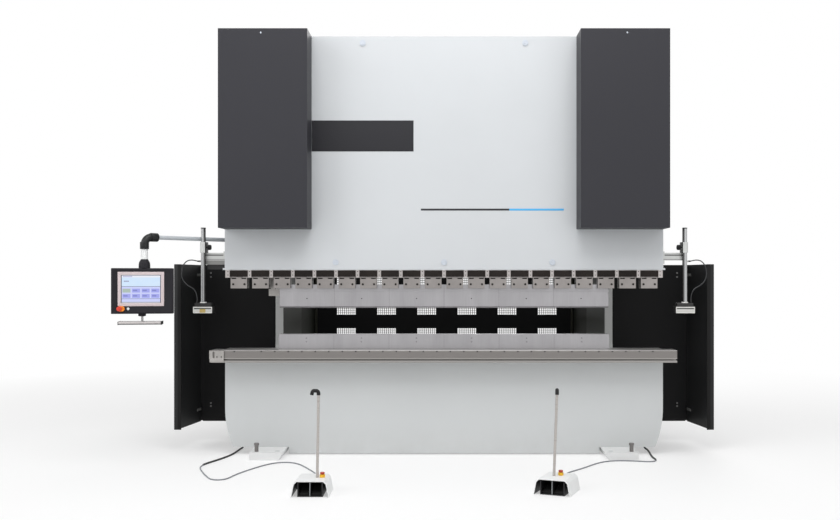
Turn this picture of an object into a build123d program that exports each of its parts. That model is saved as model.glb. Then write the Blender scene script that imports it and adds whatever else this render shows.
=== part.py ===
from build123d import *
import math
import os

os.makedirs("parts", exist_ok=True)

# Hydraulic press brake, 4 m bending length. Millimetres, +Z up, -Y is the operator's side.
# The origin is on the floor at the centre of the four anchor holes, on the machine's centre plane.

# Clearances
slide_gap = 0.3          # between faces that slide or only rest near each other
shaft_gap = 0.08         # radial, round pins, posts and rods
safe_gap = 6.0           # between moving pieces and the frame

# Anchor pattern and feet
anchor_spacing_x = 3012
anchor_spacing_y = 2254
anchor_overhang = 227    # from the bed's front face forward to the anchor holes
anchor_hole_r = 19
foot_h = 70
foot_w = 298
foot_overhang = 309
foot_under = 320         # how far a foot runs under the frame
foot_inner_x = 1445
foot_slant = 36          # the inner end leans in towards the floor
level_bolt_r = 18
level_bolt_h = 77
level_head_r = 23
level_head_h = 20
level_bolt_x = 1690
level_bolt_overhang = 243

# Heights, stacked from the floor up
bed_clear_z = 10
bed_rise = 797           # bed plate above the feet
table_h = 108
die_h = 138
daylight = 243           # die top to punch tip at rest
blade_h = 182
tang_h = 35
holder_h = 64
edge_h = 71
ram_lower_h = 652
ram_upper_h = 1510

# Widths and thicknesses of the two big plates
bed_half_w = 2026
bed_flare_in = 72        # the bed's lower corners curve in by this much
bed_flare_h = 360
ram_half_w = 2030
ram_neck_half_w = 1290
ram_corner_r = 60
ram_tab_w = 18
ram_tab_t = 30
ram_tab_h = 18
plate_t = 120

# Side frames
frame_half_gap = 1575    # centre plane to a side frame's inner face
frame_t = 77
frame_depth = 1800
throat_depth = 556
throat_rise = 63         # throat top above the ram's lower edge
throat_r = 150
guide_gap_y = 30         # ram back face to the side frame's front edge
head_recess_y = 235      # front edge of the frame beside the cylinder
head_reach_y = 60        # the head's nose ahead of the ram's front face
back_vertical_h = 2900
head_back_y = 1250
head_drop = 90           # the head's top below the ram's top
head_h = 220

# Tooling
tool_len = 510
tool_count = 6
punch_half_t = 13
punch_angle = 85
shoulder_half_t = 16
shoulder_h = 18
tang_half_t = 20
die_half_t = 55
v_open = 80
v_angle = 90
joint_gap = 0.4          # between neighbouring tool segments

# Clamps
clamp_pitch = 200
clamp_count = 20
clamp_w = 153
clamp_t = 35
clamp_slot_w = 44
clamp_slot_h = 12
clamp_slot_t = 20
clamp_slot_edge = 8
clamp_front = 5          # clamp plate's front face behind the ram's front face
holder_back = 110
block_w = 166
block_h = 57
block_front = -8
block_lift = 8
post_t = 25

# Table and T-slot rail
table_front = -12
table_back = 190
table_step_h = 15
rail_half_len = 2110
rail_front = -207
rail_main_h = 78
rail_lip_h = 20
slot_mouth_h = 13
slot_mouth_t = 16
slot_depth = 40
slot_h = 27
rail_top_over = 3
end_bracket_x = 132      # length of the bracket round the rail's left end
end_bracket_t = 12
end_slot_r = 9
end_slot_len = 60
end_hole_r = 7

# Cylinders and covers
cylinder_x = 1625
cylinder_r = 170
cylinder_wall = 60
cylinder_clear_z = 140   # ram shoulder up to the cylinder's lower end
rod_foot_w = 260
rod_foot_h = 80
rod_len = 640
ram_travel = 265
cover_inner_x = 1225
cover_outer_x = 2025
cover_depth = 305
cover_h = 1786
cover_t = 4
cover_hook_w = 108
cover_hook_t = 10
cap_r = 28
cap_h = 6
cap_top_x = 752
cap_top_drop = 61
cap_low_x = 1003
cap_low_rise = 71
guide_end = 20
guide_lift = 40
guide_w = 60

# Rear of the machine
tie_h = 700
tie_t = 60
low_tie_h = 420
low_tie_t = 50
low_tie_z = 160
tank_len = 2300
tank_depth = 760
tank_h = 520
tank_y = 520             # tank's front face behind the frame's recess
lid_t = 12
lid_over = 14
motor_r = 130
motor_len = 420
motor_fins = 18
motor_fin_h = 14
motor_x = 520
pump_block_w = 260
pump_block_h = 230
cabinet_w = 560
cabinet_depth = 1000
cabinet_z = 340
cabinet_h = 1500
cabinet_y = 860
cabinet_door_t = 22
wing_t = 30
guard_depth = 2940
guard_half_w = 1605
guard_h = 1750
guard_t = 40
guard_foot_h = 90
guard_foot_w = 120
window_count = 6
window_w = 232
window_pitch = 490
window_h = 466
window_low_z = 557
window_top_z = 1184
window_shift = 33        # the windows' middle to the right of the centre plane

# Side guards and their doors
side_guard_y = 743
side_guard_z = 204
side_guard_h = 1560
side_guard_t = 30
side_guard_end = 2412
door_hinge_x = 2440
door_len = 600
door_t = 30
door_flare = 8.25        # degrees
door_start = 15
hinge_r = 12
hinge_pin_r = 5
hinge_h = 40
hinge_tab_t = 12
hinge_low_rise = 123
hinge_top_drop = 100

# Laser safety arms and posts
arm_plate_t = 12
arm_plate_depth = 100
arm_front = 28
arm_depth = 40
arm_len = 228
arm_top_z = 1868
arm_h = 71
arm_slot_drop = 22       # the slot's middle below the arm's top
arm_slot_h = 10
arm_slot_t = 9
arm_end_t = 10
arm_end_h = 92
arm_plate_over = 12
duct_h = 39              # cable duct under the left arm
laser_x = 2228
laser_post_r = 22
laser_post_low_z = 1402
laser_post_top_z = 2097
collar_r = 30
collar_h = 98
knob_stem_r = 6
knob_stem_len = 12
knob_r = 22
knob_len = 30
sensor_w = 175
sensor_h = 63
sensor_depth = 110
sensor_front = -30
sensor_plate_w = 150
sensor_plate_h = 30
laser_gland_z = 1790
laser_gland_r = 9
laser_gland_len = 14
laser_cable_r = 5

# Console
pivot_x = -1730
pivot_y = 651
console_arm_z = 1996
console_arm_r = 19
console_reach = 1400
console_arm_turn = 228.8  # degrees from +X, seen from above
pivot_pin_r = 15
hub_r = 45
hub_h = 68
bracket_w = 122
bracket_h = 60
elbow_r = 34
elbow_bend_r = 70
drop_tube_r = 30
drop_tube_top_z = 1891
flange_top_z = 1798
flange_r = 42
panel_top_z = 1721
panel_w = 560
panel_h = 403
panel_t = 90
panel_turn = 10          # degrees, left edge towards the operator
panel_shift = -24
bezel_w = 415
bezel_h = 302
bezel_t = 5
bezel_drop = 33
screen_w = 328
screen_h = 248
screen_t = 2
tray_w = 395
tray_h = 25
tray_depth = 180
tray_z = 1240
tray_arm_w = 60
tray_arm_t = 6
stop_r = 20
stop_h = 26
stop_x = -190
stop_rise = 38
lamp_r = 9
lamp_h = 6
lamp_x = -122
stub_w = 60
stub_h = 20

# Foot pedals
pedal_w = 286
pedal_top_w = 248
pedal_h = 120
pedal_len = 300
pedal_wall = 5
hood_chamfer = 20
pedal_body_w = 190
pedal_body_front = 12
pedal_body_wall = 8
pedal_rib = 10
treadle_w = 76
treadle_t = 14
treadle_len = 190
treadle_middle = -20
treadle_tilt = 12
treadle_z = 36           # treadle's middle above the floor
pedal_rod_r = 10.5
pedal_rod_top_z = 745
grip_r = 14
grip_len = 44
grip_rise = 34
grip_drop = 32
grip_bend_r = 20
grip_end_r = 14
pedal_stop_base_h = 20
pedal_stop_r = 19
# Each pedal: X, depth, turn; offsets of its rod and stop button; the rod's lean; the grip's heading
pedal_left = (-1000, -1665, 0, (38, -5), (76, 5), 10, 190)
pedal_right = (863, -1617, -22, (-24, 1), (17, 47), 23, 265)

# Floor cables
floor_cable_r = 5.5
gland_r = 12
gland_len = 22
outlet_box_w = 90
outlet_box_h = 110
outlet_box_t = 60
outlet_y = 420
outlet_z = 150
pedal_gland_z = 16
scale_inner_x = 1532
scale_outer_x = 1650
scale_front = 160
scale_t = 40
scale_low_z = 1465
scale_h = 66
scale_strip_x = 1600
scale_strip_w = 32

# Levels and depths worked out from the values above
bed_top = foot_h + bed_rise
table_top = bed_top + table_h
die_top = table_top + die_h
tip_z = die_top + daylight
shoulder_z = tip_z + blade_h
seat_z = shoulder_z + tang_h
ram_low = seat_z + holder_h
edge_top = ram_low + edge_h
ram_shoulder = edge_top + ram_lower_h
ram_top = ram_shoulder + ram_upper_h
head_top = ram_top - head_drop
head_under = head_top - head_h
cylinder_low = ram_shoulder + cylinder_clear_z
recess_low = ram_shoulder + rod_foot_h - ram_travel - 2 * safe_gap
cover_top = ram_top
cover_low = cover_top - cover_h
frame_outer_x = frame_half_gap + frame_t
tool_line = plate_t / 2
front_y = anchor_overhang - anchor_spacing_y / 2


def back(depth):
    """Y of a place that lies this far behind the bed's and ram's front face."""
    return front_y + depth


def block(x0, x1, d0, d1, z0, z1):
    """Box between two X, two depths behind the front face and two heights."""
    size = (x1 - x0, d1 - d0, z1 - z0)
    centre = ((x0 + x1) / 2, back((d0 + d1) / 2), (z0 + z1) / 2)
    return Pos(*centre) * Box(*size)


def along_x(outline, x0, x1):
    """Solid with a depth-and-height outline, running from x0 to x1."""
    plane = Plane(origin=(x0, front_y, 0), x_dir=(0, 1, 0), z_dir=(1, 0, 0))
    return extrude(plane * make_face(outline), amount=x1 - x0, dir=(1, 0, 0))


def along_y(outline, d0, d1):
    """Solid with an X-and-height outline, running between two depths."""
    plane = Plane(origin=(0, back(d0), 0), x_dir=(1, 0, 0), z_dir=(0, -1, 0))
    return extrude(plane * make_face(outline), amount=d1 - d0, dir=(0, 1, 0))


def post(x, depth, z0, z1, radius):
    """Upright round bar."""
    return Pos(x, back(depth), (z0 + z1) / 2) * Cylinder(radius, z1 - z0)


def bar_x(x0, x1, depth, z, radius):
    """Round bar along X."""
    return Pos((x0 + x1) / 2, back(depth), z) * Rot(0, 90, 0) * Cylinder(radius, x1 - x0)


def bar_y(x, d0, d1, z, radius):
    """Round bar along Y."""
    return Pos(x, back((d0 + d1) / 2), z) * Rot(90, 0, 0) * Cylinder(radius, d1 - d0)


def other_side(solid):
    """The same piece on the other side of the centre plane."""
    return mirror(solid, about=Plane.YZ)


def pair(solid):
    """A piece and its mirror image as one set."""
    return [solid, other_side(solid)]


def flat(solids):
    """All single solids of a mixed list."""
    found = []
    for item in solids:
        found += list(item.solids())
    return found


def save(name, *items):
    """Writes one node; several like solids share it."""
    solids = flat(items)
    shape = solids[0] if len(solids) == 1 else Compound(solids)
    export_step(shape, f"parts/{name}.step")


# Frame: side frames, bed, feet


def side_frame():
    """C-shaped side plate with a rounded throat and a nose over the cylinder."""
    throat_top = ram_low + throat_rise
    guide_front = plate_t + guide_gap_y
    points = [
        (plate_t, foot_h), (frame_depth, foot_h), (frame_depth, back_vertical_h),
        (head_back_y, head_top), (-head_reach_y, head_top), (-head_reach_y, head_under),
        (head_recess_y, head_under), (head_recess_y, recess_low), (guide_front, recess_low),
        (guide_front, throat_top), (throat_depth, throat_top), (throat_depth, bed_top),
        (plate_t, bed_top),
    ]
    radii = [0, 40, 200, 120, 30, 0, 0, 30, 20, 20, throat_r, throat_r, 0]
    return along_x(FilletPolyline(*points, radius=radii, close=True), frame_half_gap, frame_outer_x)


def bed_plate():
    """Front plate of the bed; its lower corners curve in and clear the feet."""
    half = bed_half_w
    low = half - bed_flare_in
    flare_top = foot_h + bed_flare_h
    notch = foot_inner_x - safe_gap
    flare_r = (bed_flare_in ** 2 + bed_flare_h ** 2) / (2 * bed_flare_in)
    turn = math.asin(bed_flare_h / flare_r) / 2
    bulge = (half - flare_r + flare_r * math.cos(turn), flare_top - flare_r * math.sin(turn))
    right = ThreePointArc((half, flare_top), bulge, (low, foot_h))
    left = ThreePointArc((-low, foot_h), (-bulge[0], bulge[1]), (-half, flare_top))
    under = Polyline((low, foot_h), (notch, foot_h), (notch, bed_clear_z), (-notch, bed_clear_z),
                     (-notch, foot_h), (-low, foot_h))
    over = Polyline((-half, flare_top), (-half, bed_top), (half, bed_top), (half, flare_top))
    return along_y(Curve() + [right, under, left, over], 0, plate_t)


def foot(front):
    """One foot plate with its anchor hole; front says which end of the frame."""
    hole_x = anchor_spacing_x / 2
    if front:
        near, far, hole = -foot_overhang, foot_under, -anchor_overhang
    else:
        near, far = frame_depth - foot_under, frame_depth + foot_overhang
        hole = frame_depth + anchor_overhang
    outline = Polyline((foot_inner_x, foot_h), (foot_inner_x + foot_slant, 0), (foot_inner_x + foot_w, 0),
                       (foot_inner_x + foot_w, foot_h), close=True)
    plate = along_y(outline, near, far)
    plate = plate - post(hole_x, hole, -1, foot_h + 1, anchor_hole_r)
    bolt_at = -level_bolt_overhang if front else frame_depth + level_bolt_overhang
    return plate - post(level_bolt_x, bolt_at, 6, foot_h + 1, level_bolt_r + slide_gap)


def level_bolt(front):
    """Levelling bolt standing in its foot."""
    bolt_at = -level_bolt_overhang if front else frame_depth + level_bolt_overhang
    shank = post(level_bolt_x, bolt_at, 6, foot_h + level_bolt_h, level_bolt_r)
    top = foot_h + level_bolt_h
    head = Pos(level_bolt_x, back(bolt_at), top - level_head_h) * extrude(
        RegularPolygon(level_head_r, 6), amount=level_head_h)
    return shank + head


def table():
    """Table beam on the bed, with a step in front of the dies."""
    points = [
        (table_front, bed_top), (table_back, bed_top), (table_back, table_top),
        (0, table_top), (0, table_top - table_step_h), (table_front, table_top - table_step_h),
    ]
    return along_x(Polyline(*points, close=True), -bed_half_w, bed_half_w)


def table_rail():
    """Front rail with its T-slot, drawn as one outline."""
    top = table_top + rail_top_over
    mouth_top = top - rail_main_h
    mouth_low = mouth_top - slot_mouth_h
    low = mouth_low - rail_lip_h
    middle = (mouth_top + mouth_low) / 2
    inner = rail_front + slot_mouth_t
    deep = inner + slot_depth
    points = [
        (rail_front, top), (table_front, top), (table_front, low), (rail_front, low),
        (rail_front, mouth_low), (inner, mouth_low), (inner, middle - slot_h / 2),
        (deep, middle - slot_h / 2), (deep, middle + slot_h / 2), (inner, middle + slot_h / 2),
        (inner, mouth_top), (rail_front, mouth_top),
    ]
    radii = [4, 0, 0, 3, 0, 0, 0, 2, 2, 0, 0, 0]
    return along_x(FilletPolyline(*points, radius=radii, close=True), -rail_half_len, rail_half_len)


def table_end_bracket():
    """Plate on the rail's left front end, with an upright slot and two holes."""
    outer = -rail_half_len - end_bracket_t
    top = table_top + rail_top_over
    low = top - rail_main_h
    front = rail_front - end_bracket_t
    face = block(outer, outer + end_bracket_x, front, rail_front, low, top)
    side = block(outer, -rail_half_len, rail_front, table_front, low, top)
    middle = (top + low) / 2
    slot_x = outer + 40
    cutter = block(slot_x - end_slot_r, slot_x + end_slot_r, front - 1, rail_front + 1,
                   middle - end_slot_len / 2 + end_slot_r, middle + end_slot_len / 2 - end_slot_r)
    reach = end_slot_len / 2 - end_slot_r
    for z in (middle - reach, middle + reach):
        cutter = cutter + bar_y(slot_x, front - 1, rail_front + 1, z, end_slot_r)
    plate = face + side - cutter
    for offset in (70, 110):
        plate = plate - bar_y(outer + offset, front - 1, rail_front + 1, low + 20, end_hole_r)
    return plate


def tool_segments(outline):
    """Tool segments of one outline, side by side over the bending length."""
    start = -tool_len * tool_count / 2
    return [along_x(outline, start + i * tool_len + joint_gap / 2,
                    start + (i + 1) * tool_len - joint_gap / 2) for i in range(tool_count)]


def punches():
    """Straight punches: tang, shoulders, blade and nose."""
    nose_h = punch_half_t / math.tan(math.radians(punch_angle / 2))
    half = [
        (tang_half_t, seat_z), (tang_half_t, shoulder_z), (shoulder_half_t, shoulder_z),
        (shoulder_half_t, shoulder_z - shoulder_h), (punch_half_t, shoulder_z - 2 * shoulder_h),
        (punch_half_t, tip_z + nose_h),
    ]
    points = [(tool_line + y, z) for y, z in half] + [(tool_line, tip_z)]
    points += [(tool_line - y, z) for y, z in reversed(half)]
    return tool_segments(Polyline(*points, close=True))


def dies():
    """Dies with one V each, under the punch tip."""
    v_depth = v_open / 2 / math.tan(math.radians(v_angle / 2))
    points = [
        (tool_line - die_half_t, table_top), (tool_line + die_half_t, table_top),
        (tool_line + die_half_t, die_top), (tool_line + v_open / 2, die_top),
        (tool_line, die_top - v_depth), (tool_line - v_open / 2, die_top),
        (tool_line - die_half_t, die_top),
    ]
    return tool_segments(Polyline(*points, close=True))


# Ram and clamps


def clamp_places():
    """X of every clamp, from left to right."""
    first = -clamp_pitch * (clamp_count - 1) / 2
    return [first + i * clamp_pitch for i in range(clamp_count)]


def ram_plate():
    """Upper beam: full width below, narrower between the cylinders."""
    points = [
        (-ram_half_w, edge_top), (ram_half_w, edge_top), (ram_half_w, ram_shoulder),
        (ram_neck_half_w, ram_shoulder), (ram_neck_half_w, ram_top), (-ram_neck_half_w, ram_top),
        (-ram_neck_half_w, ram_shoulder), (-ram_half_w, ram_shoulder),
    ]
    radii = [0, 0, 30, ram_corner_r, 30, 30, ram_corner_r, 30]
    plate = along_y(FilletPolyline(*points, radius=radii, close=True), 0, plate_t)
    for tab in pair(block(ram_half_w - 1, ram_half_w + ram_tab_w, 0, ram_tab_t, edge_top,
                          edge_top + ram_tab_h)):
        plate = plate + tab
    return plate


def ram_edge():
    """Bare steel strip under the ram, with posts between the adjuster blocks."""
    strip = block(-ram_half_w, ram_half_w, post_t, plate_t, ram_low, edge_top)
    half_post = (clamp_pitch - block_w) / 2
    first = clamp_places()[0] - clamp_pitch / 2
    for i in range(clamp_count + 1):
        x = first + i * clamp_pitch
        strip = strip + block(x - half_post, x + half_post, 0, post_t + 1, ram_low, edge_top)
    return strip


def adjuster_block(x):
    """Wedge adjuster in a pocket of the steel strip."""
    half = block_w / 2 - slide_gap
    return block(x - half, x + half, block_front, post_t, ram_low + block_lift,
                 ram_low + block_lift + block_h)


def punch_holder(x):
    """Holder behind a clamp plate; its jaw backs the punch's tang."""
    plate_back = clamp_front + clamp_t
    tang_back = tool_line + tang_half_t
    points = [
        (plate_back, ram_low), (holder_back, ram_low), (holder_back, shoulder_z),
        (tang_back, shoulder_z), (tang_back, seat_z), (plate_back, seat_z),
    ]
    return along_x(Polyline(*points, close=True), x - clamp_w / 2, x + clamp_w / 2)


def clamp_plate(x):
    """Front plate of a clamp, with a relief slot near each top corner."""
    plate = block(x - clamp_w / 2, x + clamp_w / 2, clamp_front, clamp_front + clamp_t,
                  shoulder_z, ram_low)
    for side in (-1, 1):
        middle = x + side * (clamp_w - clamp_slot_w) / 2 - side * clamp_slot_edge
        plate = plate - block(middle - clamp_slot_w / 2, middle + clamp_slot_w / 2, clamp_front - 1,
                              clamp_front + clamp_slot_t, ram_low - clamp_slot_h, ram_low + 1)
    return plate


def screw_caps():
    """Round caps over the ram's screws."""
    caps = []
    for x in (-cap_top_x, cap_top_x):
        caps.append(bar_y(x, -cap_h, 0, ram_top - cap_top_drop, cap_r))
    for x in (-cap_low_x, 0, cap_low_x):
        caps.append(bar_y(x, -cap_h, 0, edge_top + cap_low_rise, cap_r))
    return caps


# Cylinders and covers


def cylinder():
    """Cylinder under the frame's nose, bored for its rod."""
    bore_r = cylinder_r - cylinder_wall
    body = post(cylinder_x, tool_line, cylinder_low, head_under, cylinder_r)
    bore_top = ram_shoulder + rod_foot_h + rod_len + 40
    return body - post(cylinder_x, tool_line, cylinder_low - 1, bore_top, bore_r + shaft_gap)


def piston_rod():
    """Rod on its foot, on the ram's shoulder."""
    half = rod_foot_w / 2
    low = ram_shoulder
    pad = block(cylinder_x - half, cylinder_x + half, 0, plate_t, low, low + rod_foot_h)
    rod = post(cylinder_x, tool_line, low + rod_foot_h, low + rod_foot_h + rod_len,
               cylinder_r - cylinder_wall)
    return pad + rod


def cylinder_cover():
    """Folded cover round a cylinder; open at the back, its outer side runs on to the frame."""
    t = cover_t
    front_zone = -safe_gap
    outer = block(cover_inner_x, cover_outer_x, -cover_depth, front_zone, cover_low, cover_top)
    inner = block(cover_inner_x + t, cover_outer_x - t, -cover_depth + t, front_zone + 1,
                  cover_low + t, cover_top - t)
    shell = outer - inner
    side_low = ram_shoulder + 2 * safe_gap
    side = block(cover_outer_x - t, cover_outer_x, front_zone - 1, head_recess_y, side_low, cover_top)
    roof = block(ram_neck_half_w + safe_gap, cover_outer_x, front_zone - 1, head_recess_y,
                 cover_top - t, cover_top)
    return shell + side + roof


def cover_hook():
    """Bracket from the frame's nose up to the cover's roof."""
    half = cover_hook_w / 2
    middle = frame_half_gap + frame_t / 2
    top = cover_top - cover_t
    foot_plate = block(middle - half, middle + half, -head_reach_y, 0, head_top, head_top + cover_hook_t)
    web = block(middle - cover_hook_t / 2, middle + cover_hook_t / 2, -head_reach_y, 0,
                head_top + cover_hook_t, top)
    roof_plate = block(middle - half, middle + half, -head_reach_y, 0, top - cover_hook_t, top)
    return foot_plate + web + roof_plate


def ram_guide():
    """Guide rail on the side frame's front edge, behind the ram."""
    low = ram_low + throat_rise + guide_lift
    outer = frame_half_gap + (frame_t + guide_w) / 2
    return block(outer - guide_w, outer, plate_t + slide_gap, plate_t + guide_gap_y, low,
                 recess_low - guide_end)


# Rear of the machine


def upper_tie():
    """Tie beam between the side frames behind the ram."""
    low = ram_shoulder
    return block(-frame_half_gap, frame_half_gap, head_recess_y + 60, head_recess_y + 60 + tie_t,
                 low, low + tie_h)


def lower_tie():
    """Tie plate low down between the side frames."""
    return block(-frame_half_gap, frame_half_gap, frame_depth - 120 - low_tie_t, frame_depth - 120,
                 low_tie_z, low_tie_z + low_tie_h)


def oil_tank():
    """Oil tank on cross rails between the heads, with an overhanging lid."""
    low = back_vertical_h - tank_h
    near = head_recess_y + tank_y
    half = tank_len / 2
    body = block(-half, half, near, near + tank_depth, low, low + tank_h)
    body = fillet(body.edges().filter_by(Axis.Z), 25)
    lid = block(-half - lid_over, half + lid_over, near - lid_over, near + tank_depth + lid_over,
                low + tank_h, low + tank_h + lid_t)
    rails = [block(-frame_half_gap, frame_half_gap, near + place, near + place + 80, low - 90, low)
             for place in (60, tank_depth - 140)]
    return body + lid + rails[0] + rails[1]


def pump_motor():
    """Finned motor standing on the pump block, on the tank's lid."""
    floor = back_vertical_h + lid_t
    middle = head_recess_y + tank_y + tank_depth / 2
    half = pump_block_w / 2
    body = block(motor_x - half, motor_x + half, middle - half, middle + half, floor,
                 floor + pump_block_h)
    low = floor + pump_block_h
    motor = post(motor_x, middle, low, low + motor_len, motor_r)
    for i in range(motor_fins):
        fin = Box(2 * (motor_r + motor_fin_h), 6, motor_len - 90)
        turn = 180 * i / motor_fins
        motor = motor + Pos(motor_x, back(middle), low + motor_len / 2 - 20) * Rot(0, 0, turn) * fin
    hood = post(motor_x, middle, low + motor_len - 70, low + motor_len, motor_r + motor_fin_h + 3)
    return body + motor + hood


def electrical_cabinet():
    """Cabinet on the right side frame, with a door leaf on its outer face."""
    near = frame_outer_x
    body = block(near, near + cabinet_w - cabinet_door_t, cabinet_y, cabinet_y + cabinet_depth,
                 cabinet_z, cabinet_z + cabinet_h)
    leaf = block(near + cabinet_w - cabinet_door_t, near + cabinet_w, cabinet_y + 12,
                 cabinet_y + cabinet_depth - 12, cabinet_z + 12, cabinet_z + cabinet_h - 12)
    return body + leaf


def rear_wing():
    """Sheet wing from a side frame back to the rear guard."""
    return block(frame_half_gap, frame_half_gap + wing_t, frame_depth, guard_depth,
                 guard_foot_h, guard_foot_h + guard_h)


def rear_guard():
    """Rear guard with two rows of windows."""
    low = guard_foot_h
    panel = block(-guard_half_w, guard_half_w, guard_depth, guard_depth + guard_t, low, low + guard_h)
    first = window_shift - window_pitch * (window_count - 1) / 2
    for i in range(window_count):
        x = first + i * window_pitch
        for z in (window_low_z, window_top_z):
            panel = panel - block(x - window_w / 2, x + window_w / 2, guard_depth - 1,
                                  guard_depth + guard_t + 1, z, z + window_h)
    return panel


def guard_foot(x, depth):
    """Short foot plate with a stem, under the rear guard."""
    half = guard_foot_w / 2
    plate = block(x - half, x + half, depth - half, depth + half, 0, 12)
    stem = post(x, depth, 12, guard_foot_h, 20)
    return plate + stem


# Side guards and doors


def hinge_heights():
    """Middle height of the lower and upper hinge."""
    return (side_guard_z + hinge_low_rise, side_guard_z + side_guard_h - hinge_top_drop)


def side_guard():
    """Fixed panel beside the frame, with a folded lip along its top and bottom."""
    top = side_guard_z + side_guard_h
    sheet = block(frame_outer_x, side_guard_end, side_guard_y, side_guard_y + side_guard_t,
                  side_guard_z, top)
    lip = 60
    low_lip = block(frame_outer_x, side_guard_end, side_guard_y + side_guard_t - 1,
                    side_guard_y + side_guard_t + lip, side_guard_z, side_guard_z + 5)
    top_lip = block(frame_outer_x, side_guard_end, side_guard_y + side_guard_t - 1,
                    side_guard_y + side_guard_t + lip, top - 5, top)
    return sheet + low_lip + top_lip


def guard_hinge():
    """Lower knuckles with their pins and tabs, on the fixed panel."""
    depth = side_guard_y + side_guard_t / 2
    pieces = []
    for z in hinge_heights():
        knuckle = post(door_hinge_x, depth, z - hinge_h, z - slide_gap / 2, hinge_r)
        tab = block(side_guard_end, door_hinge_x, depth - hinge_tab_t / 2, depth + hinge_tab_t / 2,
                    z - hinge_h, z - slide_gap / 2)
        pin = post(door_hinge_x, depth, z - hinge_h, z + hinge_h - 2, hinge_pin_r)
        pieces.append(knuckle + tab + pin)
    return pieces


def side_door():
    """Door leaf with its upper knuckles, flared outwards as it stands closed."""
    leaf = Pos(0, -(door_start + door_len) / 2, side_guard_z + side_guard_h / 2) * Box(
        door_t, door_len - door_start, side_guard_h)
    return_lip = Pos(-25, -door_len + 3, side_guard_z + side_guard_h / 2) * Box(50, 6, side_guard_h)
    door = leaf + return_lip
    for z in hinge_heights():
        low = z + slide_gap / 2
        middle = (low + z + hinge_h) / 2
        height = z + hinge_h - low
        knuckle = Pos(0, 0, middle) * Cylinder(hinge_r, height)
        tab = Pos(0, -door_start / 2 - 1, middle) * Box(hinge_tab_t, door_start + 2, height)
        bore = Pos(0, 0, middle) * Cylinder(hinge_pin_r + shaft_gap, height + 2)
        door = door + (knuckle + tab - bore)
    depth = side_guard_y + side_guard_t / 2
    return Pos(door_hinge_x, back(depth), 0) * Rot(0, 0, door_flare) * door


# Laser safety arms and posts


def laser_arm():
    """Slotted arm on a plate at the ram's end, with the cable's gland on its end plate."""
    end_x = ram_half_w + arm_plate_t
    far_x = ram_half_w + arm_len
    far_side = arm_front + arm_depth
    plate = block(ram_half_w, end_x, 0, arm_plate_depth, arm_top_z - arm_end_h - arm_plate_over,
                  arm_top_z + arm_plate_over)
    arm = block(end_x, far_x, arm_front, far_side, arm_top_z - arm_h, arm_top_z)
    slot_z = arm_top_z - arm_slot_drop
    slot = block(end_x, far_x - arm_end_t, arm_front - 1, arm_front + arm_slot_t,
                 slot_z - arm_slot_h / 2, slot_z + arm_slot_h / 2)
    end_plate = block(far_x - arm_end_t, far_x, arm_front, far_side, arm_top_z - arm_end_h, arm_top_z)
    gland = bar_x(far_x, far_x + laser_gland_len, arm_front + arm_depth / 2, laser_gland_z, laser_gland_r)
    return plate + (arm - slot) + end_plate + gland


def arm_duct():
    """Cable duct under the left arm, from the ram's end plate to the arm's end plate."""
    top = arm_top_z - arm_h
    return block(-ram_half_w - arm_len + arm_end_t, -ram_half_w - arm_plate_t, arm_front,
                 arm_front + arm_depth, top - duct_h, top)


def laser_collar():
    """Clamp collar round the post, seated on the upper rail, with its knob."""
    low = arm_top_z
    ring = post(laser_x, 0, low, low + collar_h, collar_r)
    lug = block(laser_x - collar_r, laser_x + collar_r, 0, arm_front + arm_depth, low, low + collar_h)
    knob_z = low + collar_h / 2
    stem_end = laser_x - collar_r - knob_stem_len
    stem = bar_x(stem_end, laser_x - collar_r + 4, 0, knob_z, knob_stem_r)
    knob = bar_x(stem_end - knob_len, stem_end, 0, knob_z, knob_r)
    body = ring + lug + stem + knob
    return body - post(laser_x, 0, low - 1, low + collar_h + 1, laser_post_r + shaft_gap)


def laser_post():
    """Chromed post with the cable clip behind it."""
    bar = post(laser_x, 0, laser_post_low_z, laser_post_top_z, laser_post_r)
    return bar


def laser_sensor():
    """Sensor housing under its mounting plate."""
    top = laser_post_low_z
    half = sensor_w / 2
    low = top - sensor_plate_h - sensor_h
    body = block(laser_x - half, laser_x + half, sensor_front, sensor_front + sensor_depth,
                 low, low + sensor_h)
    half_plate = sensor_plate_w / 2
    plate = block(laser_x - half_plate, laser_x + half_plate, sensor_front + 8,
                  sensor_front + sensor_depth - 8, low + sensor_h, top)
    return body + plate


# Console


def console_direction():
    """Unit vector of the console arm seen from above."""
    turn = math.radians(console_arm_turn)
    return math.cos(turn), math.sin(turn)


def drop_axis():
    """Model X and Y of the upright axis that the panel turns on."""
    ux, uy = console_direction()
    return pivot_x + ux * console_reach, back(pivot_y) + uy * console_reach


def console_bracket():
    """Bracket on the left side frame with the arm's pivot pin."""
    low = console_arm_z - hub_h / 2 - bracket_h
    shelf = block(pivot_x - bracket_w / 2, -frame_outer_x, pivot_y - bracket_w / 2,
                  pivot_y + bracket_w / 2, low, low + bracket_h - slide_gap)
    shelf = fillet(shelf.edges().filter_by(Axis.Z).sort_by(Axis.X)[:2], 40)
    pin = post(pivot_x, pivot_y, low + bracket_h - 1, console_arm_z + hub_h / 2 + 14, pivot_pin_r)
    cap = post(pivot_x, pivot_y, console_arm_z + hub_h / 2 + slide_gap,
               console_arm_z + hub_h / 2 + 14, pivot_pin_r + 12)
    return shelf + pin + cap


def console_arm():
    """Hub and round arm out to the elbow."""
    hub = post(pivot_x, pivot_y, console_arm_z - hub_h / 2, console_arm_z + hub_h / 2, hub_r)
    ux, uy = console_direction()
    length = console_reach - elbow_bend_r
    middle = (pivot_x + ux * length / 2, back(pivot_y) + uy * length / 2, console_arm_z)
    tube = Pos(*middle) * Rot(0, 0, console_arm_turn) * Rot(0, 90, 0) * Cylinder(console_arm_r, length)
    bore = post(pivot_x, pivot_y, console_arm_z - hub_h, console_arm_z + hub_h,
                pivot_pin_r + shaft_gap)
    return hub + tube - bore


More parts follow.
